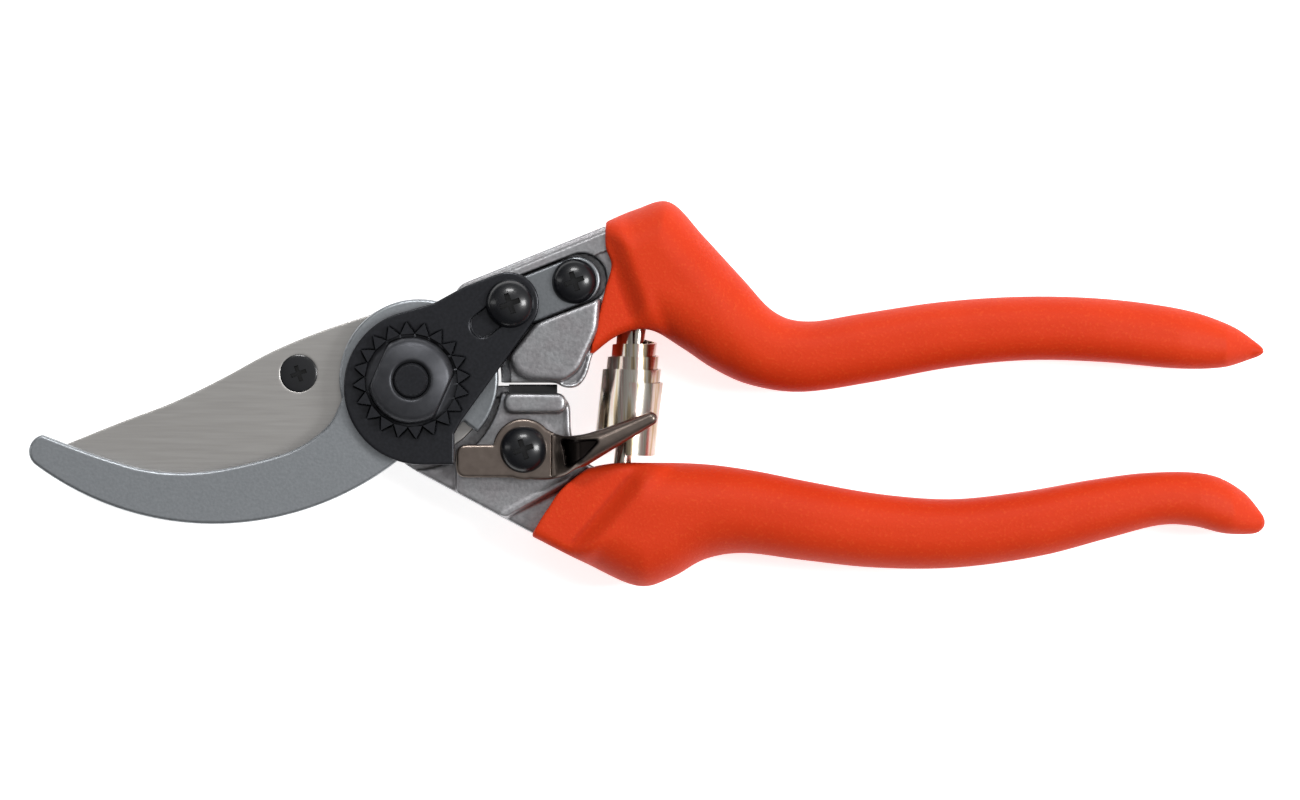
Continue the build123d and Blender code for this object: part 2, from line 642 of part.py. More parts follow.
with BuildPart() as lower_grip:
    loft(handle_sections(LOWER_STATIONS, 0))
    loft(handle_sections(LOWER_STATIONS[:-1], GRIP_WALL), mode=Mode.SUBTRACT)
    with BuildSketch(spring_plane(on_spring(DECK_Y + 2), -1)):
        Circle(PEG_RADIUS + SEAT_GAP)
    extrude(amount=PEG_DEPTH, mode=Mode.SUBTRACT)
save(lower_grip, "lower_grip")

# ------------------------------------------------ screws that hold the hook and the lock plate
with BuildPart() as tang_screw:
    add(pan_screw(TANG_SCREW_AT, PLATE_Z, PAN_HEAD_RADIUS, PAN_HEIGHT, SCREW_END_Z, SCREW_RADIUS))
save(tang_screw, "tang_screw")

with BuildPart() as lock_plate_screw:
    lock_head_z = PLATE_Z + PLATE_THICK
    add(pan_screw(LOCK_SCREW_AT, lock_head_z, LOCK_HEAD_RADIUS, PAN_HEIGHT, SCREW_END_Z, SCREW_RADIUS))
save(lock_plate_screw, "lock_plate_screw")

# ------------------------------------------------ rubber bumper between the two bodies
with BuildPart() as rubber_bumper:
    with BuildSketch(Plane.XY.offset(BUMPER_Z + PIN_GAP)):
        with Locations((BUMPER_X, BUMPER_TOP_Y)):
            Rectangle(
                BUMPER_LENGTH - 2 * PIN_GAP,
                BUMPER_TOP_Y - BODY_TOP_Y + BUMPER_ROOT - PIN_GAP,
                align=(Align.CENTER, Align.MAX),
            )
    extrude(amount=BUMPER_HEIGHT - 2 * PIN_GAP)
    fillet(rubber_bumper.edges().filter_by(Axis.X).group_by(Axis.Y)[-1], BUMPER_ROUND)
save(rubber_bumper, "rubber_bumper")

# ------------------------------------------------ thumb catch, its washer and its shoulder screw
with BuildPart() as thumb_catch:
    catch_x, catch_y = CATCH_AT
    with BuildSketch(Plane.XY.offset(CATCH_Z)):
        with Locations(CATCH_AT):
            Circle(CATCH_COLLAR_RADIUS)
        with Locations((catch_x - CATCH_TONGUE_REACH, catch_y - 4.9)):
            RectangleRounded(
                CATCH_TONGUE_REACH + TONGUE_CORNER,
                TONGUE_WIDTH,
                TONGUE_CORNER,
                align=(Align.MIN, Align.MIN),
            )
        with BuildLine():
            Polyline(
                (catch_x + 2.0, catch_y + 4.9),
                (catch_x + 8.6, catch_y + 2.1),
                (catch_x + 13.0, catch_y + 2.7),
                (catch_x + 21.2, catch_y + 6.6),
                (catch_x + 22.9, catch_y + 5.5),
                (catch_x + 22.2, catch_y + 3.8),
                (catch_x + 16.0, catch_y - 0.3),
                (catch_x + 11.2, catch_y - 1.6),
                (catch_x + 6.6, catch_y - 5.1),
                (catch_x + 1.0, catch_y - 5.25),
                (catch_x + 2.0, catch_y + 4.9),
            )
        make_face()
    extrude(amount=LEVER_TOP_Z - CATCH_Z)
    with BuildSketch(Plane.XZ.offset(CATCH_DEPTH_OFFSET)):
        with BuildLine():
            Polyline(
                (catch_x - 15, CATCH_Z),
                (catch_x + 5.2, CATCH_Z),
                (catch_x + 9.6, LEVER_Z),
                (catch_x + 25, LEVER_Z),
                (catch_x + 25, LEVER_TOP_Z),
                (catch_x + 12.0, LEVER_TOP_Z),
                (catch_x + 5.6, CATCH_Z + CATCH_THICK),
                (catch_x - 15, CATCH_Z + CATCH_THICK),
                (catch_x - 15, CATCH_Z),
            )
        make_face()
    extrude(amount=-2 * CATCH_DEPTH_OFFSET, mode=Mode.INTERSECT)
    with BuildSketch(Plane.XY.offset(CATCH_Z)):
        with Locations(CATCH_AT):
            Circle(SHOULDER_RADIUS + PIN_GAP)
    extrude(amount=CATCH_THICK, mode=Mode.SUBTRACT)
save(thumb_catch, "thumb_catch")

with BuildPart() as catch_washer:
    with BuildSketch(Plane.XY.offset(CATCH_SEAT_Z)):
        with Locations(CATCH_AT):
            Circle(CATCH_WASHER_RADIUS)
            Circle(SHOULDER_RADIUS + PIN_GAP, mode=Mode.SUBTRACT)
    extrude(amount=CATCH_WASHER_THICK - RUN_GAP)
save(catch_washer, "catch_washer")

with BuildPart() as catch_screw:
    catch_head_z = CATCH_Z + CATCH_THICK + RUN_GAP
    add(pan_screw(CATCH_AT, catch_head_z, CATCH_HEAD_RADIUS, PAN_HEIGHT, ARM_Z + 1, SCREW_RADIUS))
    with BuildSketch(Plane.XY.offset(CATCH_SEAT_Z)):
        with Locations(CATCH_AT):
            Circle(SHOULDER_RADIUS)
    extrude(amount=catch_head_z - CATCH_SEAT_Z)
save(catch_screw, "catch_screw")

# ------------------------------------------------ volute spring and the pegs that hold its ends
with BuildPart() as volute_spring:
    with BuildSketch(spring_plane(SPRING_FOOT)):
        with BuildLine():
            inner_curve = Spline(*spiral_points(-SPRING_STRIP / 2))
            outer_curve = Spline(*spiral_points(SPRING_STRIP / 2))
            Line(inner_curve @ 0, outer_curve @ 0)
            Line(inner_curve @ 1, outer_curve @ 1)
        make_face()
    extrude(amount=SPRING_LENGTH)
    side = Plane(
        origin=(SPRING_FOOT[0], SPRING_FOOT[1], MID_Z),
        x_dir=(0, 0, 1),
        z_dir=(-SPRING_DIRECTION[1], SPRING_DIRECTION[0], 0),
    )
    inside, outside = SPRING_INNER_RADIUS - SPRING_PITCH, SPRING_OUTER_RADIUS + SPRING_PITCH
    with BuildSketch(side):
        with BuildLine():
            Polyline(
                (inside, SPRING_LENGTH - SPRING_WIDTH),
                (inside, SPRING_LENGTH),
                (outside, SPRING_WIDTH),
                (outside, 0),
                close=True,
            )
        make_face()
    revolve(axis=Axis(side.origin, side.y_dir), mode=Mode.INTERSECT)
save(volute_spring, "volute_spring")

with BuildPart() as upper_spring_peg:
    with BuildSketch(spring_plane(on_spring(ARCH_Y - PEG_STAND_OUT))):
        Circle(PEG_RADIUS)
    extrude(amount=PEG_STAND_OUT + PEG_DEPTH)
save(upper_spring_peg, "upper_spring_peg")

with BuildPart() as lower_spring_peg:
    with BuildSketch(spring_plane(on_spring(DECK_Y + PEG_STAND_OUT), -1)):
        Circle(PEG_RADIUS)
    extrude(amount=PEG_STAND_OUT + PEG_DEPTH)
save(lower_spring_peg, "lower_spring_peg")
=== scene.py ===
from math import cos, pi, radians, sin

import bpy
import numpy as np
from mathutils import Matrix, Vector


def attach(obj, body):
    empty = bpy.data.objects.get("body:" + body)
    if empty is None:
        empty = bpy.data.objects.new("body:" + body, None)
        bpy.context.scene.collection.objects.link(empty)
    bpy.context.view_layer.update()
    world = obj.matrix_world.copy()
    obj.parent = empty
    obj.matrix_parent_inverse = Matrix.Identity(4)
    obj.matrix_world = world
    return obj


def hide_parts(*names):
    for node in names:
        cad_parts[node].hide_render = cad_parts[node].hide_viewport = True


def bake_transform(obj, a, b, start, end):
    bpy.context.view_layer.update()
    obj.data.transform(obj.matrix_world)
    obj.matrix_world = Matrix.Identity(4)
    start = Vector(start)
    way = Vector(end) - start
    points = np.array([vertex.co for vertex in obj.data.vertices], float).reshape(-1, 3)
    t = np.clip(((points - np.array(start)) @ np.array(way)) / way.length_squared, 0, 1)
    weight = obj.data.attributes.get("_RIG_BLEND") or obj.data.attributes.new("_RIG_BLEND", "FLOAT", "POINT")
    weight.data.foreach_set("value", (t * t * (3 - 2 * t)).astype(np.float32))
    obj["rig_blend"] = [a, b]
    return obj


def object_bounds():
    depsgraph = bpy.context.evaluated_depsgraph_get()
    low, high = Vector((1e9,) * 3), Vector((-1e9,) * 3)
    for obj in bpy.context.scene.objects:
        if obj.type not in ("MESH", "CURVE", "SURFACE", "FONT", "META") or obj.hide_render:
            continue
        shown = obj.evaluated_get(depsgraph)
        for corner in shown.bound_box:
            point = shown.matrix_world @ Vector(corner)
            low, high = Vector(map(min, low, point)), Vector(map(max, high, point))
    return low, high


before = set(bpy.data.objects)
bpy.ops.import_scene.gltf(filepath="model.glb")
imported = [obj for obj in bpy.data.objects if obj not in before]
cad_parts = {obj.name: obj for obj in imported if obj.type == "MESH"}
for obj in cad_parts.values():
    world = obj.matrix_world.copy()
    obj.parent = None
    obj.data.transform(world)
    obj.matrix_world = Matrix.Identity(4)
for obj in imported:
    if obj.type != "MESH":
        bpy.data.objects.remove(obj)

cad_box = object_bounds()

# ================================================================ the table, the studio light and the camera
# The shears lie closed on a plain white table under large softboxes. The camera hangs straight above them and
# looks down with a long lens, so that nothing leans outwards at the edges of the view.
VIEW_WIDTH = 0.2252  # metres of the table that the camera sees from side to side
CAMERA_HEIGHT = 1.5
VIEW_SHIFT = Vector((0.0004, -0.0012, 0.0))
TABLE_HALF = 2.0
TABLE_DROP = 0.00005
BRIGHT_SIDE = (0.50, 0.32, 0.80)  # the room is brightest in this direction
MM = 0.001  # the sections below give sizes in millimetres, and a mesh takes metres
COLOUR_A, COLOUR_B, COLOUR_OUT = 6, 7, 2  # a colour mix's sockets, whose names are used twice

scene = bpy.context.scene
middle = (cad_box[0] + cad_box[1]) / 2


def linear(code):
    """A colour given as sRGB hex, as the linear red, green, blue and alpha that a shader takes."""
    parts = [int(code[i:i + 2], 16) / 255 for i in (1, 3, 5)]
    return [c / 12.92 if c <= 0.04045 else ((c + 0.055) / 1.055) ** 2.4 for c in parts] + [1.0]


def add_node(tree, kind, inputs=None, **settings):
    """Adds a node with its settings. A socket, or a node's first output, is linked, and a plain value is set."""
    node = tree.nodes.new(kind)
    for name, value in settings.items():
        setattr(node, name, value)
    for name, value in (inputs or {}).items():
        if isinstance(value, bpy.types.Node):
            value = value.outputs[0]
        if isinstance(value, bpy.types.NodeSocket):
            tree.links.new(value, node.inputs[name])
        else:
            node.inputs[name].default_value = value
    return node


def new_finish(name):
    """A new material, its empty node tree, and the place on the piece that its patterns read."""
    material = bpy.data.materials.new(name)
    material.use_nodes = True
    tree = material.node_tree
    tree.nodes.clear()
    return material, tree, add_node(tree, "ShaderNodeTexCoord").outputs["Object"]


def paint(tree, inputs, height=None, strength=0.0, depth=0.0):
    """Ends a finish with its Principled shader, raised by a height that is so many metres deep."""
    if height:
        bump = add_node(tree, "ShaderNodeBump", {"Height": height, "Strength": strength, "Distance": depth})
        inputs = {**inputs, "Normal": bump}
    shader = add_node(tree, "ShaderNodeBsdfPrincipled", inputs)
    add_node(tree, "ShaderNodeOutputMaterial", {"Surface": shader})


def softbox(name, toward, distance, size, power):
    """A rectangular area light that hangs in a direction from the shears and faces them."""
    data = bpy.data.lights.new(name, "AREA")
    data.shape = "RECTANGLE"
    data.size, data.size_y = size
    data.energy = power
    light = bpy.data.objects.new(name, data)
    light.location = middle + Vector(toward).normalized() * distance
    light.rotation_euler = Vector(toward).to_track_quat("Z", "Y").to_euler()
    scene.collection.objects.link(light)


camera_data = bpy.data.cameras.new("overhead_camera")
camera_data.lens = camera_data.sensor_width * CAMERA_HEIGHT / VIEW_WIDTH
camera = bpy.data.objects.new("overhead_camera", camera_data)
camera.location = middle + VIEW_SHIFT + Vector((0, 0, CAMERA_HEIGHT))
scene.collection.objects.link(camera)
scene.camera = camera

softbox("right_softbox", (0.74, 0.08, 0.85), 0.9, (0.22, 0.30), 5.0)
softbox("far_softbox", (-0.05, 0.80, 0.85), 0.9, (0.30, 0.14), 3.0)
softbox("left_softbox", (-0.90, 0.10, 0.50), 0.9, (0.14, 0.50), 0.5)

world = bpy.data.worlds.new("white_room")
world.use_nodes = True
room_tree = world.node_tree
room_tree.nodes.clear()
facing = add_node(room_tree, "ShaderNodeTexCoord").outputs["Generated"]
overhead = add_node(room_tree, "ShaderNodeVectorMath", {0: facing, 1: BRIGHT_SIDE}, operation="DOT_PRODUCT")
glow = add_node(room_tree, "ShaderNodeMapRange", {
    "Value": overhead.outputs["Value"], "From Min": 0.1, "From Max": 0.83, "To Min": 0.08, "To Max": 0.50,
})
room = add_node(room_tree, "ShaderNodeBackground", {"Color": linear("#FFFFFF"), "Strength": glow})
add_node(room_tree, "ShaderNodeOutputWorld", {"Surface": room})
scene.world = world
scene.view_settings.view_transform = "Standard"

# White laminate: even and matt, so that it only shows the soft shadow under the shears.
laminate, tree, _ = new_finish("white_laminate")
paint(tree, {
    "Base Color": linear("#F4F4F4"), "Roughness": 0.9, "Emission Color": linear("#FFFFFF"),
    "Emission Strength": 0.72,
})
corners = [(x * TABLE_HALF, y * TABLE_HALF) for x, y in ((-1, -1), (1, -1), (1, 1), (-1, 1))]
table_mesh = bpy.data.meshes.new("table_top")
table_mesh.from_pydata([(x, y, cad_box[0].z - TABLE_DROP) for x, y in corners], [], [(0, 1, 2, 3)])
table_mesh.materials.append(laminate)
table_top = bpy.data.objects.new("table_top", table_mesh)
scene.collection.objects.link(table_top)

# ================================================================ lower handle
# A drop-forged aluminium handle, tumbled to a satin grey. It carries the boss and the arm under the blade,
# the deck that the thumb catch turns on, and the core inside the lower grip.
HANDLE_STEP = 0.3
ARM_Z, ARM_TOP = 4.05, 8.05
DECK_Z = 11.5
DECK_DROP = 0.9  # the deck's left end and its lower corner lie this much deeper
HOOK_Z, HOOK_TOP = 11.3, 14.9
BLADE_SCREW_AT = (-19.7, 1.2)
CATCH_AT = (19.3, -11.9)
HANDLE_MIDDLE = 9.3  # height of the handles' middle plane
SKIN = 1.05  # the grip's wall over the core
GRIP_DEPTH = 18.4  # of both grips, before they taper
GRIP_ROUND = 7.6  # radius that rounds the grips along their sides
MOUTH_ROUND = 1.8  # radius that rounds them in front of their creases
ROUND_SHARE = 0.46  # of a grip's width, which the rounding stays under where the grip is narrow
PIVOT_HOLE, SCREW_HOLE = 4.6, 2.1  # radii
LOWER_BOSS_RADIUS, DECK_INNER_RADIUS, CATCH_SEAT_RADIUS = 13.6, 15.6, 5.9
RIDGE, RIDGE_RADIUS = ((15.6, -23.4), (26.9, -17.3)), 0.75
PAD_RISE, LEDGE_DROP = 2.5, 1.4  # over and under the deck
LOWER = {
    "outer": [
        (20.6, -26.9), (29.5, -31.4), (38.9, -35.6), (45.0, -34.1), (50.6, -31.0), (57.4, -29.9), (67.5, -31.1),
        (80.0, -32.4), (94.0, -32.4), (108.5, -30.4), (120.0, -27.4), (129.0, -25.1), (135.0, -25.2),
        (140.6, -26.5), (145.4, -26.6),
    ],
    "inner": [
        (31.4, -14.9), (35.6, -14.3), (40.8, -14.3), (46.6, -14.3), (52.6, -14.7), (60.0, -15.8), (69.0, -17.6),
        (81.0, -19.7), (93.5, -20.6), (106.0, -19.3), (117.5, -17.3), (127.8, -16.0), (137.5, -16.2),
        (143.4, -18.9), (146.8, -22.6),
    ],
    "depth": [GRIP_DEPTH] * 10 + [17.4, 15.6, 13.8, 11.4, 6.0],  # at each pair of the points above
    "tip": [(147.1, -25.9), (147.7, -24.5)],
    "crease": ((41.5, -14.5), (28.7, -29.5)),
    "flange": 12.8,  # depth of the grip in front of its crease
}


def flow(points, steps=6):
    """Points along a smooth curve that passes through each of the given points."""
    path = np.array(points, float)
    path = np.vstack([2 * path[0] - path[1], path, 2 * path[-1] - path[-2]])
    found = []
    for a, b, c, d in zip(path, path[1:], path[2:], path[3:]):
        for t in np.arange(steps) / steps:
            bend = (2 * a - 5 * b + 4 * c - d) * t * t + (3 * b - a - 3 * c + d) * t ** 3
            found.append(b + 0.5 * ((c - a) * t + bend))
    return found + [path[-2]]


def soften(points, reach, steps=6):
    """A closed outline whose corners are eased into curves that begin a reach before each corner."""
    outline = np.array(points, float)
    found = []
    for before, corner, after in zip(np.roll(outline, 1, 0), outline, np.roll(outline, -1, 0)):
        start = corner + (before - corner) * min(0.5, reach / np.linalg.norm(before - corner))
        end = corner + (after - corner) * min(0.5, reach / np.linalg.norm(after - corner))
        for t in np.linspace(0, 1, steps):
            found.append((1 - t) ** 2 * start + 2 * t * (1 - t) * corner + t * t * end)
    return found


def edge_distance(points, X, Y):
    """The distance from an open line of points, in the plane."""
    nearest = np.full(np.broadcast(X, Y).shape, 1e9)
    for (ax, ay), (bx, by) in zip(points, points[1:]):
        dx, dy = bx - ax, by - ay
        along = np.clip(((X - ax) * dx + (Y - ay) * dy) / max(dx * dx + dy * dy, 1e-12), 0, 1)
        nearest = np.minimum(nearest, (X - ax - along * dx) ** 2 + (Y - ay - along * dy) ** 2)
    return np.sqrt(nearest)


def outline_distance(points, X, Y):
    """The distance from a closed outline in the plane, negative inside it."""
    closed = [*points, points[0]]
    inside = np.zeros(np.broadcast(X, Y).shape, bool)
    for (ax, ay), (bx, by) in zip(closed, closed[1:]):
        if ay != by:
            inside ^= ((ay > Y) != (by > Y)) & (X < (bx - ax) * (Y - ay) / (by - ay) + ax)
    return np.where(inside, -1, 1) * edge_distance(closed, X, Y)


def slab(flat, Z, low, high, ease):
    """A plate between two heights, from its outline's distance, with its edges rounded."""
    side = flat + ease
    face = np.abs(Z - (low + high) / 2) - (high - low) / 2 + ease
    return np.minimum(np.maximum(side, face), 0) + np.hypot(np.maximum(side, 0), np.maximum(face, 0)) - ease


def melt(a, b, reach):
    """Two bodies joined with a fillet of about the reach."""
    share = np.clip(0.5 + 0.5 * (b - a) / reach, 0, 1)
    return b + (a - b) * share - reach * share * (1 - share)


def carve(a, b, reach):
    """The first body with the second one cut away, and the cut's edge rounded."""
    return -melt(-a, b, reach)


def ramp(distance, width):
    """Rises smoothly from 0 to 1 as a distance passes from minus half a width to plus half a width."""
    share = np.clip(distance / width + 0.5, 0, 1)
    return share * share * (3 - 2 * share)


def line_side(a, b, X, Y):
    """The distance from the line through two points, positive on its left."""
    dx, dy = b[0] - a[0], b[1] - a[1]
    return (dx * (Y - a[1]) - dy * (X - a[0])) / np.hypot(dx, dy)


def arc(a, b, c, steps=24):
    """Points along the circle's arc that runs from a, through b, to c."""
    (ax, ay), (bx, by), (cx, cy) = a, b, c
    turn = 2 * (ax * (by - cy) + bx * (cy - ay) + cx * (ay - by))
    aa, bb, cc = ax * ax + ay * ay, bx * bx + by * by, cx * cx + cy * cy
    x = (aa * (by - cy) + bb * (cy - ay) + cc * (ay - by)) / turn
    y = (aa * (cx - bx) + bb * (ax - cx) + cc * (bx - ax)) / turn
    start, via, end = [np.arctan2(p[1] - y, p[0] - x) for p in (a, b, c)]
    sweep = (end - start) % (2 * pi)
    if (via - start) % (2 * pi) > sweep:
        sweep -= 2 * pi
    radius = np.hypot(ax - x, ay - y)
    return [(x + radius * cos(t), y + radius * sin(t)) for t in start + sweep * np.linspace(0, 1, steps)]


def skin(name, field, low, high, step):
    """A closed mesh, in metres, on the surface where a field of distances in millimetres is zero."""
    counts = [int(np.ceil((b - a) / step)) + 1 for a, b in zip(low, high)]
    grid = [(a + step * np.arange(n)).reshape([-1 if k == i else 1 for k in range(3)])
            for i, (a, n) in enumerate(zip(low, counts))]
    values = np.full(counts, step, np.float32)
    inner = (slice(1, -1),) * 3
    values[inner] = np.broadcast_to(field(*grid), counts)[inner]
    cells, crossings, flips = [], [], []
    for axis in range(3):
        others = [(axis + 1) % 3, (axis + 2) % 3]
        ahead = [slice(None)] * 3
        behind = [slice(None)] * 3
        ahead[axis], behind[axis] = slice(1, None), slice(None, -1)
        f0, f1 = values[tuple(behind)], values[tuple(ahead)]
        at = np.argwhere((f0 < 0) != (f1 < 0))
        a, b = f0[tuple(at.T)], f1[tuple(at.T)]
        point = at.astype(float)
        point[:, axis] += a / (a - b)
        for first, second in ((0, 0), (1, 0), (1, 1), (0, 1)):
            cell = at.copy()
            cell[:, others[0]] -= first
            cell[:, others[1]] -= second
            cells.append(np.ravel_multi_index(cell.T, counts))
        crossings.append(point)
        flips.append(a > 0)
    used, corner = np.unique(np.concatenate(cells), return_inverse=True)
    points = np.concatenate([p for p in crossings for _ in range(4)])
    share = np.bincount(corner)
    places = np.stack([np.bincount(corner, points[:, k]) / share for k in range(3)], 1)
    places = (np.array(low) + step * places) * MM
    quads, start = [], 0
    for flip in flips:
        quad = corner[start:start + 4 * len(flip)].reshape(4, -1).T
        quads.append(np.where(flip[:, None], quad[:, ::-1], quad))
        start += 4 * len(flip)
    quads = np.concatenate(quads)
    mesh = bpy.data.meshes.new(name)
    mesh.vertices.add(len(used))
    mesh.vertices.foreach_set("co", places.astype(np.float32).ravel())
    mesh.loops.add(quads.size)
    mesh.loops.foreach_set("vertex_index", quads.astype(np.int32).ravel())
    mesh.polygons.add(len(quads))
    mesh.polygons.foreach_set("loop_start", np.arange(0, quads.size, 4, dtype=np.int32))
    mesh.update(calc_edges=True)
    mesh.shade_smooth()
    return mesh


def put(name, mesh, material, body, slot, *nodes):
    """Shows a mesh as a piece of the shears that rides on a body and stands for CAD nodes."""
    if material:
        mesh.materials.clear()
        mesh.materials.append(material)
    piece = bpy.data.objects.new(name, mesh)
    scene.collection.objects.link(piece)
    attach(piece, body)
    if nodes:
        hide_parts(*nodes)
    return piece


def handle_outline(handle, steps=6):
    """The outline of a handle: out along its outer points, round its tip and back along its inner points."""
    return flow([*handle["outer"], *handle["tip"], *handle["inner"][::-1]], steps)


def middle_line(handle):
    """The place along the shears of each pair of a handle's outer and inner points."""
    return [(a[0] + b[0]) / 2 for a, b in zip(handle["outer"], handle["inner"])]


def half_depth(handle, X, Y):
    """Half the depth of a grip: thin in front of its crease, full behind it, and less towards the tip."""
    full = np.interp(X, middle_line(handle), handle["depth"])
    behind = ramp(line_side(*handle["crease"], X, Y), 4.4)
    return (handle["flange"] + (full - handle["flange"]) * behind) / 2


lower_body = soften([
    (-4.0, -12.4), (-0.6, -15.1), (20.9, -26.6), (29.0, -29.6), (34.0, -15.6), (30.9, -14.9), (28.4, -12.2),
    (27.4, -9.0), (27.3, -3.9), (25.2, -2.1), (10.0, -2.1), (0, 0),
], 1.3)
CORE_END = 58.0


def handle_solid(handle, X, Y, Z):
    """The rounded solid of a handle in its grip, from a little beyond its mouth to its tip."""
    outer, inner = handle["outer"], handle["inner"]
    start = [tuple(2.4 * a - 1.4 * b for a, b in zip(*line[:2])) for line in (inner, outer)]
    outline = outline_distance([*start, *handle_outline(handle)], X, Y)
    widths = [np.hypot(a[0] - b[0], a[1] - b[1]) for a, b in zip(outer, inner)]
    half = half_depth(handle, X, Y)
    widest = np.minimum(ROUND_SHARE * np.interp(X, middle_line(handle), widths), half)
    behind = ramp(line_side(*handle["crease"], X, Y) - 1.0, 6.0)
    ease = MOUTH_ROUND + (np.minimum(widest, GRIP_ROUND) - MOUTH_ROUND) * behind
    return slab(outline, Z, HANDLE_MIDDLE - half, HANDLE_MIDDLE + half, ease)


def handle_core(handle, X, Y, Z):
    """The forged core inside a grip, up to where the hollow of the hand begins."""
    closed = outline_distance([*handle["inner"][:1], *handle_outline(handle, 2)], X, Y)
    return np.maximum(np.maximum(handle_solid(handle, X, Y, Z), closed) + SKIN, X - CORE_END)


def lower_forging(X, Y, Z):
    """The lower handle's boss, blade arm, deck with its pad and ridge, and the core in the grip."""
    radius = np.hypot(X, Y)
    boss = slab(radius - LOWER_BOSS_RADIUS, Z, ARM_Z, ARM_TOP, 0.5)
    arm = soften([(0, 12.4), (-20.6, 5.0), (-25.1, 0.6), (-20.6, -3.8), (-7.0, -11.2)], 3.0)
    arm = slab(outline_distance(arm, X, Y), Z, ARM_Z, ARM_TOP, 0.5)
    body = outline_distance(lower_body, X, Y)
    corner = line_side(*RIDGE, X, Y)
    top = DECK_Z - DECK_DROP * ramp(7.6 - X, 0.5) - DECK_DROP * ramp(-corner - 0.3, 0.9) * ramp(X - 8.0, 0.5)
    top = top + 0.25 * ramp(body + 0.9, 0.5) * ramp(X - 24.0, 1.0)
    deck = slab(body, Z, ARM_Z, top, 0.55)
    ridge = np.hypot(edge_distance(RIDGE, X, Y), Z - DECK_Z + 0.5) - RIDGE_RADIUS
    deck = melt(deck, np.maximum(ridge, body + 0.3), 0.5)
    pad = outline_distance(soften([(16.0, -2.2), (16.0, -5.6), (26.6, -5.6), (26.6, -2.2)], 1.7), X, Y)
    deck = melt(deck, slab(pad, Z, DECK_Z - 2, DECK_Z + PAD_RISE, 0.7), 0.35)
    seat = np.hypot(X - CATCH_AT[0], Y - CATCH_AT[1]) - CATCH_SEAT_RADIUS
    seat = slab(seat, Z, DECK_Z - 2, DECK_Z + 0.08, 0.05)
    deck = np.minimum(deck, np.maximum(seat, body + 0.5))
    deck = np.maximum(deck, np.minimum(DECK_INNER_RADIUS - radius, Z - ARM_TOP))
    ledge = np.maximum(np.maximum(13.9 - X, X - 17.2), np.maximum(-3.0 - Y, Y + 0.9))
    deck = np.minimum(deck, slab(ledge, Z, ARM_Z, DECK_Z - LEDGE_DROP, 0.3))
    whole = np.minimum(np.minimum(boss, arm), np.minimum(deck, handle_core(LOWER, X, Y, Z)))
    hole = np.hypot(X - BLADE_SCREW_AT[0], Y - BLADE_SCREW_AT[1]) - SCREW_HOLE
    return np.maximum(whole, -np.minimum(hole, radius - PIVOT_HOLE))


def two_tone(tree, place, size, detail, dark, light):
    """A noise with patches of a size in metres, and a colour that wanders between two shades with it."""
    noise = add_node(tree, "ShaderNodeTexNoise", {"Vector": place, "Scale": 1 / size, "Detail": detail})
    colour = add_node(tree, "ShaderNodeMix", {
        "Factor": noise, COLOUR_A: linear(dark), COLOUR_B: linear(light),
    }, data_type="RGBA")
    return noise, colour.outputs[COLOUR_OUT]


# Drop-forged aluminium, tumbled: a satin grey with a fine grain and faint patches, and its edges painted lighter
# as a painted highlight.
forged, tree, place = new_finish("forged_aluminium_tumbled")
grit = add_node(tree, "ShaderNodeTexNoise", {"Vector": place, "Scale": 1 / 0.0006, "Detail": 3.0})
_, patchy = two_tone(tree, place, 0.004, 2.0, "#8F898C", "#A2A5A7")
# Painted highlight: convex edges, found by their pointiness, are mixed towards a near-white grey.
painted_edge_highlight = add_node(tree, "ShaderNodeMapRange", {
    "Value": add_node(tree, "ShaderNodeNewGeometry").outputs["Pointiness"],
    "From Min": 0.51, "From Max": 0.60, "To Min": 0.0, "To Max": 0.75,
})
bright = add_node(tree, "ShaderNodeMix", {
    "Factor": painted_edge_highlight, COLOUR_A: patchy, COLOUR_B: linear("#DCDDE0"),
}, data_type="RGBA")
grained = add_node(tree, "ShaderNodeMix", {
    "Factor": 0.35, COLOUR_A: bright.outputs[COLOUR_OUT], COLOUR_B: grit,
}, data_type="RGBA", blend_type="OVERLAY")
paint(tree, {
    "Metallic": 0.85, "Roughness": 0.42, "Base Color": grained.outputs[COLOUR_OUT],
}, grit, 0.35, 0.00012)

lower_mesh = skin("lower_forging", lower_forging, (-26.4, -36.4, 0.0), (CORE_END + 1, 14.6, 19.2), HANDLE_STEP)
put("lower_forging", lower_mesh, forged, "blade_side", "forged_aluminium", "lower_handle")

# ================================================================ cutting blade
# A bypass blade of hardened carbon steel, surface-ground along its length on the visible side and ground to a
# bevel on its back. One countersunk screw and the pivot hold it to the arm.
BLADE_STEP = 0.25
BLADE_Z, BLADE_TOP = 8.05, 11.25
BLADE_SPINE = [
    (-61.8, -11.8), (-50.4, -7.2), (-41.7, -3.9), (-33.0, 0.3), (-24.3, 5.0), (-15.6, 8.6), (-6.6, 11.6),
]
BLADE_EDGE = [(-7.8, -10.8), (-17.0, -16.4), (-26.0, -19.6), (-36.0, -20.8), (-46.0, -19.6), (-55.0, -16.4)]
BLADE_BEVEL = 5.0
BLADE_EDGE_THICK = 0.4
BLADE_BOSS_RADIUS, SINK_RADIUS = 13.4, 3.25


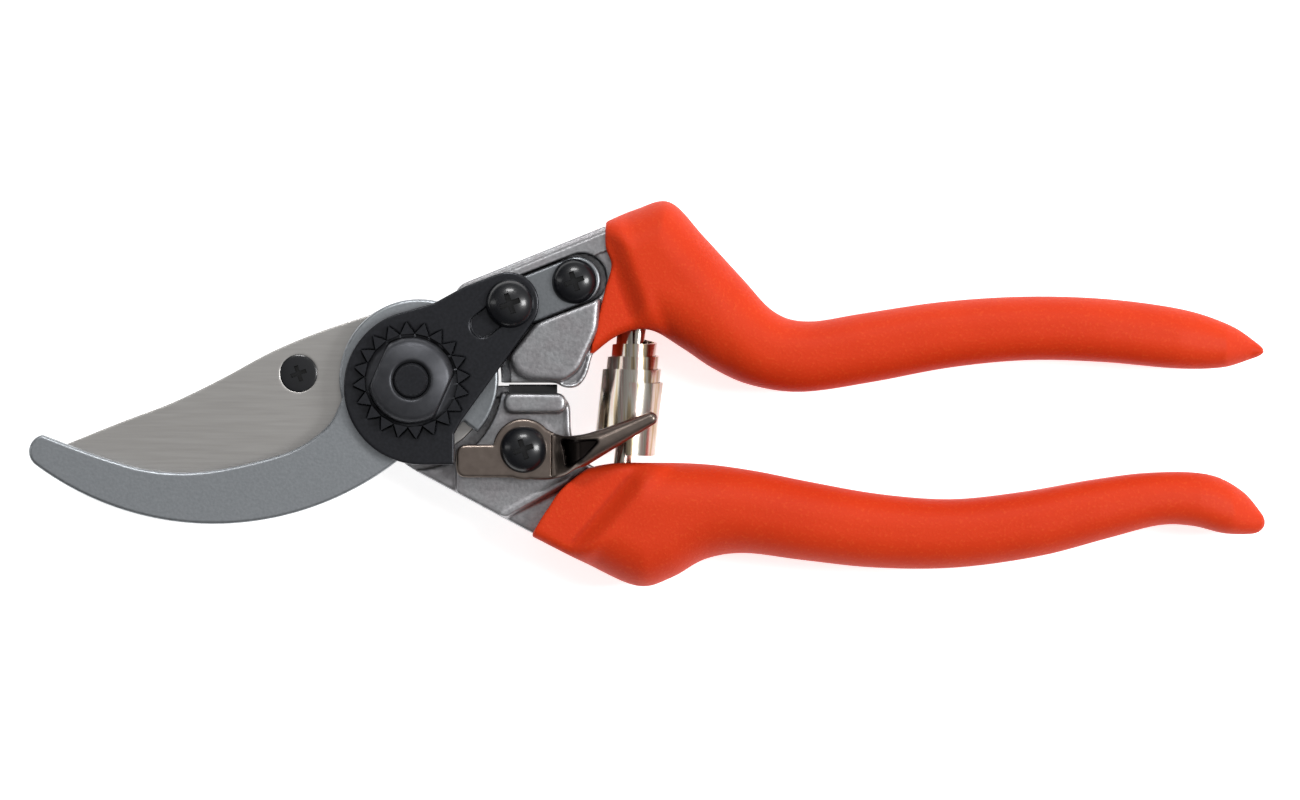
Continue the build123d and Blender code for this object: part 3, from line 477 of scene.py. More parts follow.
def blade_body(X, Y, Z):
    """The blade, its round boss, and the countersink for its screw."""
    edge = flow([*BLADE_EDGE, BLADE_SPINE[0]])
    flat = outline_distance([*flow(BLADE_SPINE), (0, 0), *edge], X, Y)
    flat = np.minimum(flat, np.hypot(X, Y) - BLADE_BOSS_RADIUS)
    ground = np.clip(1 - edge_distance(edge, X, Y) / BLADE_BEVEL, 0, 1) * (X < BLADE_EDGE[0][0])
    low = BLADE_Z + ground * (BLADE_TOP - BLADE_Z - BLADE_EDGE_THICK)
    solid = slab(flat, Z, low, BLADE_TOP, 0.15)
    away = np.hypot(X - BLADE_SCREW_AT[0], Y - BLADE_SCREW_AT[1])
    sink = np.minimum(away - SCREW_HOLE, 0.7 * (away - SINK_RADIUS + BLADE_TOP - Z))
    return np.maximum(solid, -np.minimum(sink, np.hypot(X, Y) - PIVOT_HOLE))


# Ground carbon steel: fine straight lines from the wheel along the blade, and a soft grey shine.
ground_steel, tree, place = new_finish("ground_carbon_steel")
turned = add_node(tree, "ShaderNodeMapping", {
    "Vector": place, "Rotation": (0, 0, radians(4)), "Scale": (1 / 0.009, 1 / 0.00045, 1 / 0.002),
})
lines, lined = two_tone(tree, turned, 1.0, 4.0, "#AEABA8", "#C6C4C1")
paint(tree, {"Metallic": 0.95, "Roughness": 0.36, "Base Color": lined}, lines, 0.12, 0.0001)

blade_mesh = skin("blade", blade_body, (-63.2, -22.2, 7.2), (14.4, 14.4, 12.1), BLADE_STEP)
put("blade", blade_mesh, ground_steel, "blade_side", "blade_steel", "cutting_blade")

# ================================================================ counter blade
# The thick hook is forged from carbon steel and tumbled to a smooth blue-grey. Its boss turns with the pivot
# bolt, and its long tang lies in the channel of the upper handle.
HOOK_STEP = 0.25
HOOK_INNER = [
    (-63.9, -9.4), (-54.6, -12.9), (-46.0, -15.4), (-38.0, -15.9), (-29.8, -14.7), (-20.5, -12.0),
    (-14.6, -7.9), (-12.0, -3.2),
]
HOOK_BOSS_AT, HOOK_BOSS_RADIUS = (1.2, 0.3), 13.75
TANG_TURN = radians(21.5)
TANG_ASIDE, TANG_END, TANG_HALF = 5.65, 32.91, 4.1


def tang_distance(X, Y, grow, reach):
    """The tang's outline from the pivot to its round end, grown on every side and lengthened."""
    along = X * cos(TANG_TURN) + Y * sin(TANG_TURN)
    aside = Y * cos(TANG_TURN) - X * sin(TANG_TURN) - TANG_ASIDE
    return np.maximum(np.hypot(np.maximum(along - TANG_END - reach, 0), aside) - TANG_HALF - grow, 4 - along)


def sector(X, Y, inner, start, end):
    """A sector of a ring round the pivot, outside an inner radius and between two angles."""
    radius = np.hypot(X, Y)
    turn = np.degrees(np.arctan2(Y, X))
    past = np.abs(turn - (start + end) / 2) - (end - start) / 2
    return np.maximum(inner - radius, past * radius * pi / 180)


def hook_body(X, Y, Z):
    """The hook with its boss, its lug and notch for the catch, and its tang."""
    back = arc((-2.6, -14.0), (-36.0, -24.8), (-64.8, -14.8), 40)
    tip = arc((-64.8, -14.8), (-66.2, -12.1), (-63.9, -9.4), 10)
    flat = outline_distance([*back, *tip, *flow(HOOK_INNER), (0, 0)], X, Y)
    flat = np.minimum(flat, np.hypot(X - HOOK_BOSS_AT[0], Y - HOOK_BOSS_AT[1]) - HOOK_BOSS_RADIUS)
    for inner, start, end in ((13.5, -99, -38.5), (11.3, -56.5, -38.5), (11.3, -99, -68.5)):
        flat = np.maximum(flat, -sector(X, Y, inner, start, end))
    flat = np.minimum(flat, tang_distance(X, Y, 0, 0))
    hole = np.hypot(X, Y) - PIVOT_HOLE
    return slab(np.maximum(flat, -hole), Z, HOOK_Z, HOOK_TOP, 0.45)


# Tumbled carbon steel: cool grey and nearly even, with a very fine grain. The tang is painted darker as painted
# shade, where it lies in the upper handle's channel.
tumbled_steel, tree, place = new_finish("tumbled_carbon_steel")
grain, grained = two_tone(tree, place, 0.0005, 3.0, "#8B8F93", "#A4A8AC")
# Painted shade: the colour falls to two thirds along X, from the boss out over the tang.
tang_painted_shade = add_node(tree, "ShaderNodeMapRange", {
    "Value": add_node(tree, "ShaderNodeSeparateXYZ", {0: place}).outputs["X"],
    "From Min": 0.006, "From Max": 0.014, "To Min": 1.0, "To Max": 0.66,
})
scaled = add_node(tree, "ShaderNodeVectorMath", {0: grained, 3: tang_painted_shade}, operation="SCALE")
paint(tree, {"Metallic": 0.9, "Roughness": 0.4, "Base Color": scaled}, grain, 0.2, 0.0001)

hook_mesh = skin("hook", hook_body, (-67.4, -26.2, 10.4), (38.6, 23.6, 15.8), HOOK_STEP)
put("hook", hook_mesh, tumbled_steel, "hook_side", "hook_steel", "counter_blade")

# ================================================================ upper handle
# The second forging. It holds the hook's tang in an open channel, with a raised pad below it that meets the
# bumper, and its core runs on inside the upper grip.
WEB_Z, WEB_TOP = 3.7, 14.9
FRONT_RADIUS, LOW_FRONT_RADIUS, LOW_FRONT_TOP = 17.0, 15.4, 10.8
PAD_TOP = 17.0
TOP_EDGE = ((9.3, 16.7), (33.4, 26.6))  # the bevelled edge
TANG_GAP, TANG_END_GAP = 0.35, 0.8
UPPER = {
    "outer": [
        (33.5, 27.4), (38.6, 29.6), (44.6, 30.9), (50.5, 24.9), (57.1, 17.7), (62.6, 11.9), (68.5, 10.2),
        (78.0, 11.6), (91.7, 13.6), (106.0, 14.5), (120.0, 14.1), (133.3, 12.3), (141.5, 9.6), (145.8, 6.9),
    ],
    "inner": [
        (30.5, 4.0), (35.6, 7.8), (41.0, 8.8), (46.6, 5.7), (52.2, 2.0), (58.6, -0.8), (67.5, -2.0),
        (79.6, -0.3), (93.0, 2.2), (106.5, 3.5), (119.5, 3.2), (132.0, 2.1), (140.0, 2.2), (145.0, 3.6),
    ],
    "depth": [GRIP_DEPTH] * 10 + [17.6, 15.4, 12.0, 5.0],
    "tip": [(147.5, 5.3), (147.0, 4.4)],
    "crease": ((36.0, 21.5), (40.6, 8.9)),
    "flange": 13.4,
}
upper_body = soften([
    (8.2, 16.5), (34.0, 26.9), (37.0, 25.0), (37.0, 12.0), (31.2, 4.8), (30.2, 0.8), (28.6, -1.3), (26.2, -1.3),
    (25.0, -0.4), (12.0, -0.4), (5.0, 10.0),
], 1.2)
upper_pad = soften([
    (16.9, 4.1), (17.9, 1.3), (20.2, 0.1), (26.4, -0.2), (29.0, 1.8), (32.2, 8.8), (32.6, 14.4), (21.8, 10.2),
], 1.1)


def upper_forging(X, Y, Z):
    """The upper handle's web with its bevelled edge and pad, the tang's channel, and the core in the grip."""
    body = outline_distance(upper_body, X, Y)
    outer = -line_side(*TOP_EDGE, X, Y)
    top = WEB_TOP + 0.5 * ramp(outer - 0.8, 0.4) - 0.5 * np.clip(0.8 - outer, 0, 1.4)
    top = np.where(outer < 4.0, top, WEB_TOP)
    web = slab(body, Z, WEB_Z, top, 0.5)
    rim = ramp(body + 0.6, 0.4) * ramp(X - 24.5, 1.0) * ramp(4.5 - Y, 1.0)
    web = np.minimum(web, slab(body, Z, WEB_Z, WEB_TOP + 0.4 * rim, 0.3))
    web = np.maximum(web, np.where(Z > LOW_FRONT_TOP, FRONT_RADIUS, LOW_FRONT_RADIUS) - np.hypot(X, Y))
    pad = slab(outline_distance(upper_pad, X, Y), Z, WEB_TOP - 2, PAD_TOP, 1.0)
    web = melt(web, pad, 0.4)
    whole = np.minimum(web, handle_core(UPPER, X, Y, Z))
    channel = np.maximum(tang_distance(X, Y, TANG_GAP, TANG_END_GAP), HOOK_Z - Z)
    return carve(whole, channel, 0.15)


upper_mesh = skin("upper_forging", upper_forging, (4.0, -3.0, 0.0), (CORE_END + 1, 30.6, 19.2), HANDLE_STEP)
put("upper_forging", upper_mesh, forged, "hook_side", "forged_aluminium", "upper_handle")

# ================================================================ pivot bolt and its thrust washer
# A turned steel bolt with a wide flat head at the back and a threaded end in the nut, blackened all over. The
# washer under its head is bright spring steel.
oxide, tree, place = new_finish("black_oxide_steel")
flecks, flecked = two_tone(tree, place, 0.0005, 2.0, "#1C1D20", "#303136")
paint(tree, {"Metallic": 0.6, "Roughness": 0.3, "Base Color": flecked}, flecks, 0.12, 0.0001)

# Bare turned steel: a close grey with faint rings from the lathe.
turned_steel, tree, place = new_finish("turned_steel")
rings = add_node(tree, "ShaderNodeTexWave", {
    "Vector": place, "Scale": 1 / 0.004, "Distortion": 0.6,
}, wave_type="RINGS", rings_direction="Z")
ringed = add_node(tree, "ShaderNodeMix", {
    "Factor": rings.outputs[1], COLOUR_A: linear("#55575B"), COLOUR_B: linear("#787A7F"),
}, data_type="RGBA")
paint(tree, {"Metallic": 1.0, "Roughness": 0.3, "Base Color": ringed.outputs[COLOUR_OUT]})


def dress(node, material):
    """Gives a CAD node that keeps its own shape a better material."""
    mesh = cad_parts[node].data
    mesh.materials.clear()
    mesh.materials.append(material)


dress("pivot_bolt", oxide)
dress("pivot_washer", turned_steel)

# ================================================================ lock plate
# A stamped steel plate in black oxide. Its toothed opening holds the nut where it was set, and a slot lets it
# slide back when its screw is loosened.
PLATE_STEP = 0.2
PLATE_Z, PLATE_TOP = 14.9, 16.9
LOCK_SCREW_AT = (17.0, 13.2)
SLOT_TRAVEL, SLOT_HALF, SLOT_FLOOR = 6.0, 2.15, 0.7
TEETH, TOOTH_TIP, TOOTH_ROOT, FIRST_TOOTH = 20, 10.1, 8.0, 94.8
lock_x, lock_y = LOCK_SCREW_AT
slot_start = [c * (1 - SLOT_TRAVEL / np.hypot(lock_x, lock_y)) for c in LOCK_SCREW_AT]
plate_outline = [
    *arc((-2.4, 11.6), (-11.7, -1.4), (1.4, -14.6), 40), (7.4, -14.6), (7.4, -9.2), (8.6, -7.0),
    *arc((lock_x + 4.2, lock_y - 2.8), (lock_x + 3.9, lock_y + 3.4), (lock_x - 2.5, lock_y + 5.1), 14),
    (9.1, 16.2), (4.0, 13.4),
]


def lock_plate_body(X, Y, Z):
    """The plate with its toothed opening, its slot's shallow floor and the hole for its screw."""
    flat = outline_distance(plate_outline, X, Y)
    radius, turn = np.hypot(X, Y), np.degrees(np.arctan2(Y, X))
    pitch = 360 / TEETH
    wave = np.abs(((turn - FIRST_TOOTH) / pitch) % 1 - 0.5) * 2
    tooth = TOOTH_ROOT + (TOOTH_TIP - TOOTH_ROOT) * wave
    plate = carve(slab(flat, Z, PLATE_Z, PLATE_TOP, 0.35), 0.56 * (radius - tooth), 0.1)
    slot = edge_distance([slot_start, LOCK_SCREW_AT], X, Y) - SLOT_HALF
    hole = np.hypot(X - lock_x, Y - lock_y) - SLOT_HALF
    plate = carve(plate, np.maximum(slot, PLATE_Z + SLOT_FLOOR - Z), 0.25)
    return np.maximum(plate, -hole)


plate_mesh = skin("lock_plate_black", lock_plate_body, (-12.6, -15.8, 14.2), (23.0, 19.4, 17.6), PLATE_STEP)
put("lock_plate_black", plate_mesh, oxide, "hook_side", "black_steel", "lock_plate")

# ================================================================ pivot nut
# A forged steel nut with a domed body, two flats for a spanner, and a ring of twenty teeth that lock it in the
# plate. The teeth stand a little higher than the plate.
NUT_STEP = 0.2
NUT_TOP = 20.6
NUT_RADIUS, NUT_HALF_FLATS, NUT_TURN = 7.4, 6.15, radians(-24)
NUT_BORE, NUT_SINK = 3.05, 3.6  # radii of the thread's hole and of its countersink
FLANGE_TOP = 17.1

# The nut's black oxide is rubbed through by the spanner, so it is greyer than the plate.
worn_oxide, tree, place = new_finish("worn_black_oxide")
_, smeared = two_tone(tree, place, 0.0016, 3.0, "#36373B", "#505155")
paint(tree, {"Metallic": 0.7, "Roughness": 0.42, "Base Color": smeared})


def nut_body(X, Y, Z):
    """The nut's domed body with its flats and its countersunk thread."""
    radius = np.hypot(X, Y)
    across = np.abs(X * cos(NUT_TURN) + Y * sin(NUT_TURN)) - NUT_HALF_FLATS
    top = NUT_TOP - 0.16 * np.clip(radius - NUT_SINK, 0, 9) ** 1.35
    dome = slab(radius - NUT_RADIUS, Z, PLATE_Z, top, 1.2)
    dome = carve(dome, np.maximum(-across, FLANGE_TOP - Z), 0.3)
    skirt = slab(radius - TOOTH_ROOT - 0.1, Z, PLATE_Z, FLANGE_TOP, 0.2)
    dome = melt(dome, skirt, 0.4)
    thread = np.minimum(radius - NUT_BORE, 0.7 * (radius - NUT_SINK + NUT_TOP - Z))
    return np.maximum(dome, -thread)


nut_mesh = skin("nut", nut_body, (-9.2, -9.2, 14.2), (9.2, 9.2, 21.4), NUT_STEP)
put("nut", nut_mesh, worn_oxide, "hook_side", "black_steel", "pivot_nut")


def run_tree(name, tree, values):
    """Runs a geometry tree once with its named inputs and returns the result as a plain mesh."""
    holder = bpy.data.objects.new(name, bpy.data.meshes.new(name + "_start"))
    scene.collection.objects.link(holder)
    modifier = holder.modifiers.new(name, "NODES")
    modifier.node_group = tree
    for socket in tree.interface.items_tree:
        if socket.item_type == "SOCKET" and socket.in_out == "INPUT" and socket.name in values:
            modifier[socket.identifier] = values[socket.name]
    mesh = bpy.data.meshes.new_from_object(holder.evaluated_get(bpy.context.evaluated_depsgraph_get()))
    bpy.data.objects.remove(holder)
    mesh.name = name
    return mesh


def new_tree(name, inputs):
    """A geometry tree with its named inputs, given as kinds and first values, and its input node's sockets."""
    tree = bpy.data.node_groups.new(name, "GeometryNodeTree")
    for label, (kind, value) in inputs.items():
        tree.interface.new_socket(label, in_out="INPUT", socket_type=kind).default_value = value
    tree.interface.new_socket("Finish", in_out="INPUT", socket_type="NodeSocketMaterial")
    tree.interface.new_socket("Geometry", in_out="OUTPUT", socket_type="NodeSocketGeometry")
    return tree, add_node(tree, "NodeGroupInput").outputs


def end_tree(tree, geometry, finish):
    """Ends a geometry tree with real copies in their finish."""
    real = add_node(tree, "GeometryNodeRealizeInstances", {"Geometry": geometry})
    painted = add_node(tree, "GeometryNodeSetMaterial", {"Geometry": real, "Material": finish})
    add_node(tree, "NodeGroupOutput", {"Geometry": painted})


FLOAT, COUNT = "NodeSocketFloat", "NodeSocketInt"
TOOTH_RISE = 0.15  # of the teeth over the nut's flange

# One tooth is a three-sided wedge that points outwards. The tree sets it round the nut at even angles.
tree, given = new_tree("nut_teeth", {
    "Teeth": (COUNT, TEETH), "Reach": (FLOAT, 0.002), "Ring Radius": (FLOAT, 0.009),
    "Thickness": (FLOAT, 0.002), "First Angle": (FLOAT, 0.0), "Base Height": (FLOAT, 0.0),
})
wedge = add_node(tree, "GeometryNodeMeshCone", {
    "Vertices": 3, "Radius Top": given["Reach"], "Radius Bottom": given["Reach"], "Depth": given["Thickness"],
})
ring = add_node(tree, "GeometryNodeMeshCircle", {"Vertices": given["Teeth"], "Radius": given["Ring Radius"]})
spin = add_node(tree, "ShaderNodeMath", {
    0: add_node(tree, "GeometryNodeInputIndex"),
    1: add_node(tree, "ShaderNodeMath", {0: 2 * pi, 1: given["Teeth"]}, operation="DIVIDE"),
}, operation="MULTIPLY")
outward = add_node(tree, "ShaderNodeCombineXYZ", {"Z": spin})
copies = add_node(tree, "GeometryNodeInstanceOnPoints", {
    "Points": ring.outputs["Mesh"], "Instance": wedge.outputs["Mesh"], "Rotation": outward,
})
lift = add_node(tree, "ShaderNodeCombineXYZ", {"Z": given["Base Height"]})
turn = add_node(tree, "ShaderNodeCombineXYZ", {"Z": given["First Angle"]})
seated = add_node(tree, "GeometryNodeTransform", {
    "Geometry": copies, "Translation": lift, "Rotation": turn,
})
end_tree(tree, seated, given["Finish"])

tooth_reach = (TOOTH_TIP - TOOTH_ROOT) / 1.5
teeth_mesh = run_tree("nut_teeth", tree, {
    "Teeth": TEETH, "Reach": tooth_reach * MM, "Ring Radius": (TOOTH_TIP - tooth_reach) * MM,
    "Thickness": (FLANGE_TOP - PLATE_Z + TOOTH_RISE) * MM, "First Angle": radians(FIRST_TOOTH),
    "Base Height": (PLATE_Z + FLANGE_TOP + TOOTH_RISE) / 2 * MM, "Finish": oxide,
})
put("nut_teeth", teeth_mesh, oxide, "hook_side", "black_steel")

# ================================================================ screws
# Four black cross-recess machine screws: three pan heads that hold the lock plate, the tang and the catch, and
# a countersunk one that lies flush in the blade. Each was headed cold and blackened.
# Blackened and lacquered screws are glossier than the plate, so they show the softboxes as clear spots.
gloss_black, tree, place = new_finish("black_lacquered_steel")
_, dusted = two_tone(tree, place, 0.0009, 2.0, "#0A0B0E", "#131419")
paint(tree, {
    "Base Color": dusted, "Roughness": 0.3, "Specular IOR Level": 0.4, "Coat Weight": 0.3,
    "Coat Roughness": 0.12,
})

SHANK_RADIUS, CROWN_POWER, SCREW_TURN = 2.0, 2.2, radians(20)
SLOT_SHARE, RECESS_DEPTH, DRAWN_IN = 0.5, 1.05, 0.15  # of the recess's reach, the same, and of the bars' width

tree, given = new_tree("cross_screw", {
    "Head Radius": (FLOAT, 0.004), "Head Height": (FLOAT, 0.0025), "Crown": (FLOAT, 3.0),
    "Shank Radius": (FLOAT, 0.002), "Shank Length": (FLOAT, 0.008), "Recess": (FLOAT, 0.002),
    "Turn": (FLOAT, 0.3), "Taper": (FLOAT, 0.0),
})
head = add_node(tree, "GeometryNodeMeshCylinder", {
    "Vertices": 72, "Side Segments": 1, "Fill Segments": 18, "Radius": given["Head Radius"], "Depth": 2.0,
})
spot = add_node(tree, "GeometryNodeInputPosition")
parts = add_node(tree, "ShaderNodeSeparateXYZ", {0: spot}).outputs
flat_spot = add_node(tree, "ShaderNodeCombineXYZ", {"X": parts["X"], "Y": parts["Y"]})
reach = add_node(tree, "ShaderNodeVectorMath", {0: flat_spot}, operation="LENGTH").outputs["Value"]
share = add_node(tree, "ShaderNodeMath", {0: reach, 1: given["Head Radius"]}, operation="DIVIDE")
crown = add_node(tree, "ShaderNodeMath", {0: share, 1: given["Crown"]}, operation="POWER")
left = add_node(tree, "ShaderNodeMath", {0: 1.0, 1: crown}, operation="SUBTRACT")
safe = add_node(tree, "ShaderNodeMath", {0: left, 1: 0.0}, operation="MAXIMUM")
rise = add_node(tree, "ShaderNodeMath", {0: safe, 1: 0.5}, operation="POWER")
height = add_node(tree, "ShaderNodeMath", {0: rise, 1: given["Head Height"]}, operation="MULTIPLY")
is_top = add_node(tree, "ShaderNodeMath", {0: parts["Z"], 1: 0.0}, operation="GREATER_THAN")
new_z = add_node(tree, "ShaderNodeMath", {0: height, 1: is_top}, operation="MULTIPLY")
shrink = add_node(tree, "ShaderNodeMath", {0: 1.0, 1: is_top}, operation="SUBTRACT")
narrow = add_node(tree, "ShaderNodeMath", {0: shrink, 1: given["Taper"]}, operation="MULTIPLY")
keep = add_node(tree, "ShaderNodeMath", {0: 1.0, 1: narrow}, operation="SUBTRACT")
scaled = add_node(tree, "ShaderNodeVectorMath", {0: flat_spot, 3: keep}, operation="SCALE")
drop = add_node(tree, "ShaderNodeMath", {0: narrow, 1: given["Head Radius"]}, operation="MULTIPLY")
low_z = add_node(tree, "ShaderNodeMath", {0: new_z, 1: drop}, operation="SUBTRACT")
upward = add_node(tree, "ShaderNodeCombineXYZ", {"Z": low_z})
target = add_node(tree, "ShaderNodeVectorMath", {0: scaled, 1: upward}, operation="ADD")
formed = add_node(tree, "GeometryNodeSetPosition", {"Geometry": head, "Position": target})

# The cross is cut by two bars. The lower end of each is drawn in a little, as the driver's tip is.
half_recess = add_node(tree, "ShaderNodeMath", {0: given["Recess"], 1: 2.0}, operation="MULTIPLY")
slot_wide = add_node(tree, "ShaderNodeMath", {0: given["Recess"], 1: SLOT_SHARE}, operation="MULTIPLY")
below = add_node(tree, "ShaderNodeMath", {0: parts["Z"], 1: 0.0}, operation="LESS_THAN")
above = add_node(tree, "ShaderNodeMath", {0: 1.0, 1: below}, operation="SUBTRACT")
squeeze = add_node(tree, "ShaderNodeMath", {0: below, 1: -DRAWN_IN, 2: 1.0}, operation="MULTIPLY_ADD")
depth = add_node(tree, "ShaderNodeMath", {0: given["Recess"], 1: -RECESS_DEPTH}, operation="MULTIPLY")
deep = add_node(tree, "ShaderNodeMath", {0: below, 1: depth, 2: given["Head Height"]}, operation="MULTIPLY_ADD")
over = add_node(tree, "ShaderNodeMath", {0: above, 1: MM, 2: deep}, operation="MULTIPLY_ADD")
drawn = {
    axis: add_node(tree, "ShaderNodeMath", {0: parts[axis], 1: squeeze}, operation="MULTIPLY")
    for axis in ("X", "Y")
}
bar_spot = add_node(tree, "ShaderNodeCombineXYZ", {**drawn, "Z": over})
cut = formed
for long_axis, short_axis in (("X", "Y"), ("Y", "X")):
    size = add_node(tree, "ShaderNodeCombineXYZ", {long_axis: half_recess, short_axis: slot_wide, "Z": 1.0})
    bar = add_node(tree, "GeometryNodeMeshCube", {"Size": size})
    bar = add_node(tree, "GeometryNodeSetPosition", {"Geometry": bar, "Position": bar_spot})
    cut = add_node(tree, "GeometryNodeMeshBoolean", {
        "Mesh 1": cut, "Mesh 2": bar,
    }, operation="DIFFERENCE", solver="EXACT")

shank = add_node(tree, "GeometryNodeMeshCylinder", {
    "Vertices": 32, "Radius": given["Shank Radius"], "Depth": given["Shank Length"],
})
half_shank = add_node(tree, "ShaderNodeMath", {0: given["Shank Length"], 1: -0.5}, operation="MULTIPLY")
head_low = add_node(tree, "ShaderNodeMath", {0: given["Taper"], 1: given["Head Radius"]}, operation="MULTIPLY")
shank_z = add_node(tree, "ShaderNodeMath", {0: half_shank, 1: head_low}, operation="SUBTRACT")
sunk = add_node(tree, "ShaderNodeCombineXYZ", {"Z": shank_z})
shank_low = add_node(tree, "GeometryNodeTransform", {
    "Geometry": shank, "Translation": sunk,
})
both = add_node(tree, "GeometryNodeJoinGeometry")
for part in (cut, shank_low):
    tree.links.new(part.outputs[0], both.inputs[0])
turn = add_node(tree, "ShaderNodeCombineXYZ", {"Z": given["Turn"]})
turned_screw = add_node(tree, "GeometryNodeTransform", {
    "Geometry": both, "Rotation": turn,
})
end_tree(tree, turned_screw, given["Finish"])

SCREWS = {
    # name: place, height of the head's underside, head radius, head height, height where the shank ends, taper,
    # recess, body
    "lock_plate_screw": (LOCK_SCREW_AT, PLATE_TOP, 4.2, 2.5, 6.0, 0.0, 1.95, "hook_side"),
    "tang_screw": ((28.1, 17.1), HOOK_TOP, 3.9, 2.5, 6.0, 0.0, 1.85, "hook_side"),
    "catch_screw": (CATCH_AT, 14.25, 4.1, 2.5, 5.05, 0.0, 1.9, "blade_side"),
    "blade_screw": (BLADE_SCREW_AT, BLADE_TOP - 0.05, 3.3, 0.3, 4.05, 0.39, 1.5, "blade_side"),
}
for name, (centre, base, radius, tall, end, taper, recess, body) in SCREWS.items():
    mesh = run_tree(name + "_black", tree, {
        "Head Radius": radius * MM, "Head Height": tall * MM, "Crown": CROWN_POWER, "Taper": taper,
        "Shank Radius": SHANK_RADIUS * MM, "Shank Length": (base - end - taper * radius) * MM,
        "Recess": recess * MM, "Turn": SCREW_TURN, "Finish": gloss_black,
    })
    mesh.transform(Matrix.Translation(Vector((*centre, base)) * MM))
    mesh.shade_smooth()
    mesh.set_sharp_from_angle(angle=radians(35))
    put(name + "_black", mesh, gloss_black, body, "black_steel", name)

# ================================================================ rubber bumper
# A block of black rubber, pressed into a pocket of the lower handle, that stops the handles without a jar.
rubber, tree, place = new_finish("moulded_black_rubber")
_, bloomed = two_tone(tree, place, 0.0012, 3.0, "#131315", "#222224")
paint(tree, {"Roughness": 0.7, "Base Color": bloomed})
dress("rubber_bumper", rubber)

# ================================================================ thumb catch
# Pressed from one piece of nickel-plated steel: a flat tongue that drops into the hook's notch, a collar under
# the shoulder screw, and a lever folded up and rolled into a tapered rod for the thumb.
CATCH_STEP = 0.2
CATCH_Z, CATCH_TOP = 11.8, 14.2
COLLAR_RADIUS, CATCH_HOLE = 5.3, 2.9
LEVER_RISE = 5.1  # the lever is folded up by this much, to clear the grip
HOLLOW_FLOOR = 12.6
catch_x, catch_y = CATCH_AT


def taper_rod(X, Y, Z, start, end, start_radius, end_radius):
    """A round rod between two points whose radius changes evenly, with round ends."""
    a, b = np.array(start), np.array(end)
    d = b - a
    along = np.clip(((X - a[0]) * d[0] + (Y - a[1]) * d[1] + (Z - a[2]) * d[2]) / (d @ d), 0, 1)
    x, y, z = (axis - a[k] - along * d[k] for k, axis in enumerate((X, Y, Z)))
    away = np.sqrt(x ** 2 + y ** 2 + z ** 2)
    return away - start_radius - (end_radius - start_radius) * along


def folded_height(X, Z):
    """The height in the catch before its lever was folded up."""
    return Z - LEVER_RISE * ramp(X - 26.7, 5.4)


def catch_hollow(X, Y, Z):
    """The hollow that the fold leaves beside the rolled rod."""
    hollow = [(25.6, -10.1), (28.4, -10.5), (32.6, -10.2), (29.4, -13.6), (26.6, -15.2), (26.4, -12.6)]
    return np.maximum(outline_distance(soften(hollow, 1.2), X, Y), HOLLOW_FLOOR - folded_height(X, Z))


def catch_body(X, Y, Z):
    """The catch's tongue and collar, and the hollow lever that rises from them."""
    away = np.hypot(X - catch_x, Y - catch_y)
    tongue = soften([(7.6, -16.8), (7.6, -11.1), (16.0, -11.1), (22.0, -16.8)], 1.9)
    flat = np.minimum(away - COLLAR_RADIUS, outline_distance(tongue, X, Y))
    wing = soften([
        (21.3, -7.3), (25.5, -9.6), (30.5, -9.6), (33.0, -9.0), (33.0, -11.6), (30.6, -13.4), (27.0, -16.3),
        (24.0, -17.2), (19.5, -17.15),
    ], 1.4)
    flat = np.minimum(flat, outline_distance(wing, X, Y))
    plate = slab(flat, folded_height(X, Z), CATCH_Z, CATCH_TOP, 0.45)
    rod = taper_rod(X, Y, Z, (29.4, -12.3, 18.2), (41.3, -6.6, 19.8), 2.5, 1.15)
    solid = carve(melt(plate, rod, 1.2), catch_hollow(X, Y, Z), 0.4)
    return np.maximum(np.maximum(solid, CATCH_HOLE - away), CATCH_Z - Z)


# Nickel plate, warm and a little brown from age, with painted shade inside the folded hollow.
nickel, tree, place = new_finish("aged_nickel_plate")
cloud, clouded = two_tone(tree, place, 0.0016, 4.0, "#6C615A", "#8C8078")
# Painted shade: a share stored on the mesh mixes in a near-black inside the hollow.
hollow_shaded = add_node(tree, "ShaderNodeMix", {
    "Factor": add_node(tree, "ShaderNodeAttribute", attribute_name="hollow_shade").outputs["Fac"],
    COLOUR_A: clouded, COLOUR_B: linear("#2B2624"),
}, data_type="RGBA")
paint(tree, {
    "Metallic": 1.0, "Roughness": 0.32, "Base Color": hollow_shaded.outputs[COLOUR_OUT],
}, cloud, 0.1, 0.0002)

catch_mesh = skin("thumb_lever", catch_body, (6.6, -18.2, 11.0), (43.6, -4.0, 21.0), CATCH_STEP)
# Painted shade: each vertex in or near the folded hollow gets a share, which darkens it.
spots = np.zeros(3 * len(catch_mesh.vertices), np.float32)
catch_mesh.vertices.foreach_get("co", spots)
hollow_shade_share = ramp(0.3 - catch_hollow(*(spots.reshape(-1, 3).T * 1000)), 0.5)
catch_mesh.attributes.new("hollow_shade", "FLOAT", "POINT").data.foreach_set("value", hollow_shade_share.astype(np.float32))
put("thumb_lever", catch_mesh, nickel, "catch", "catch_steel", "thumb_catch")
dress("catch_washer", turned_steel)

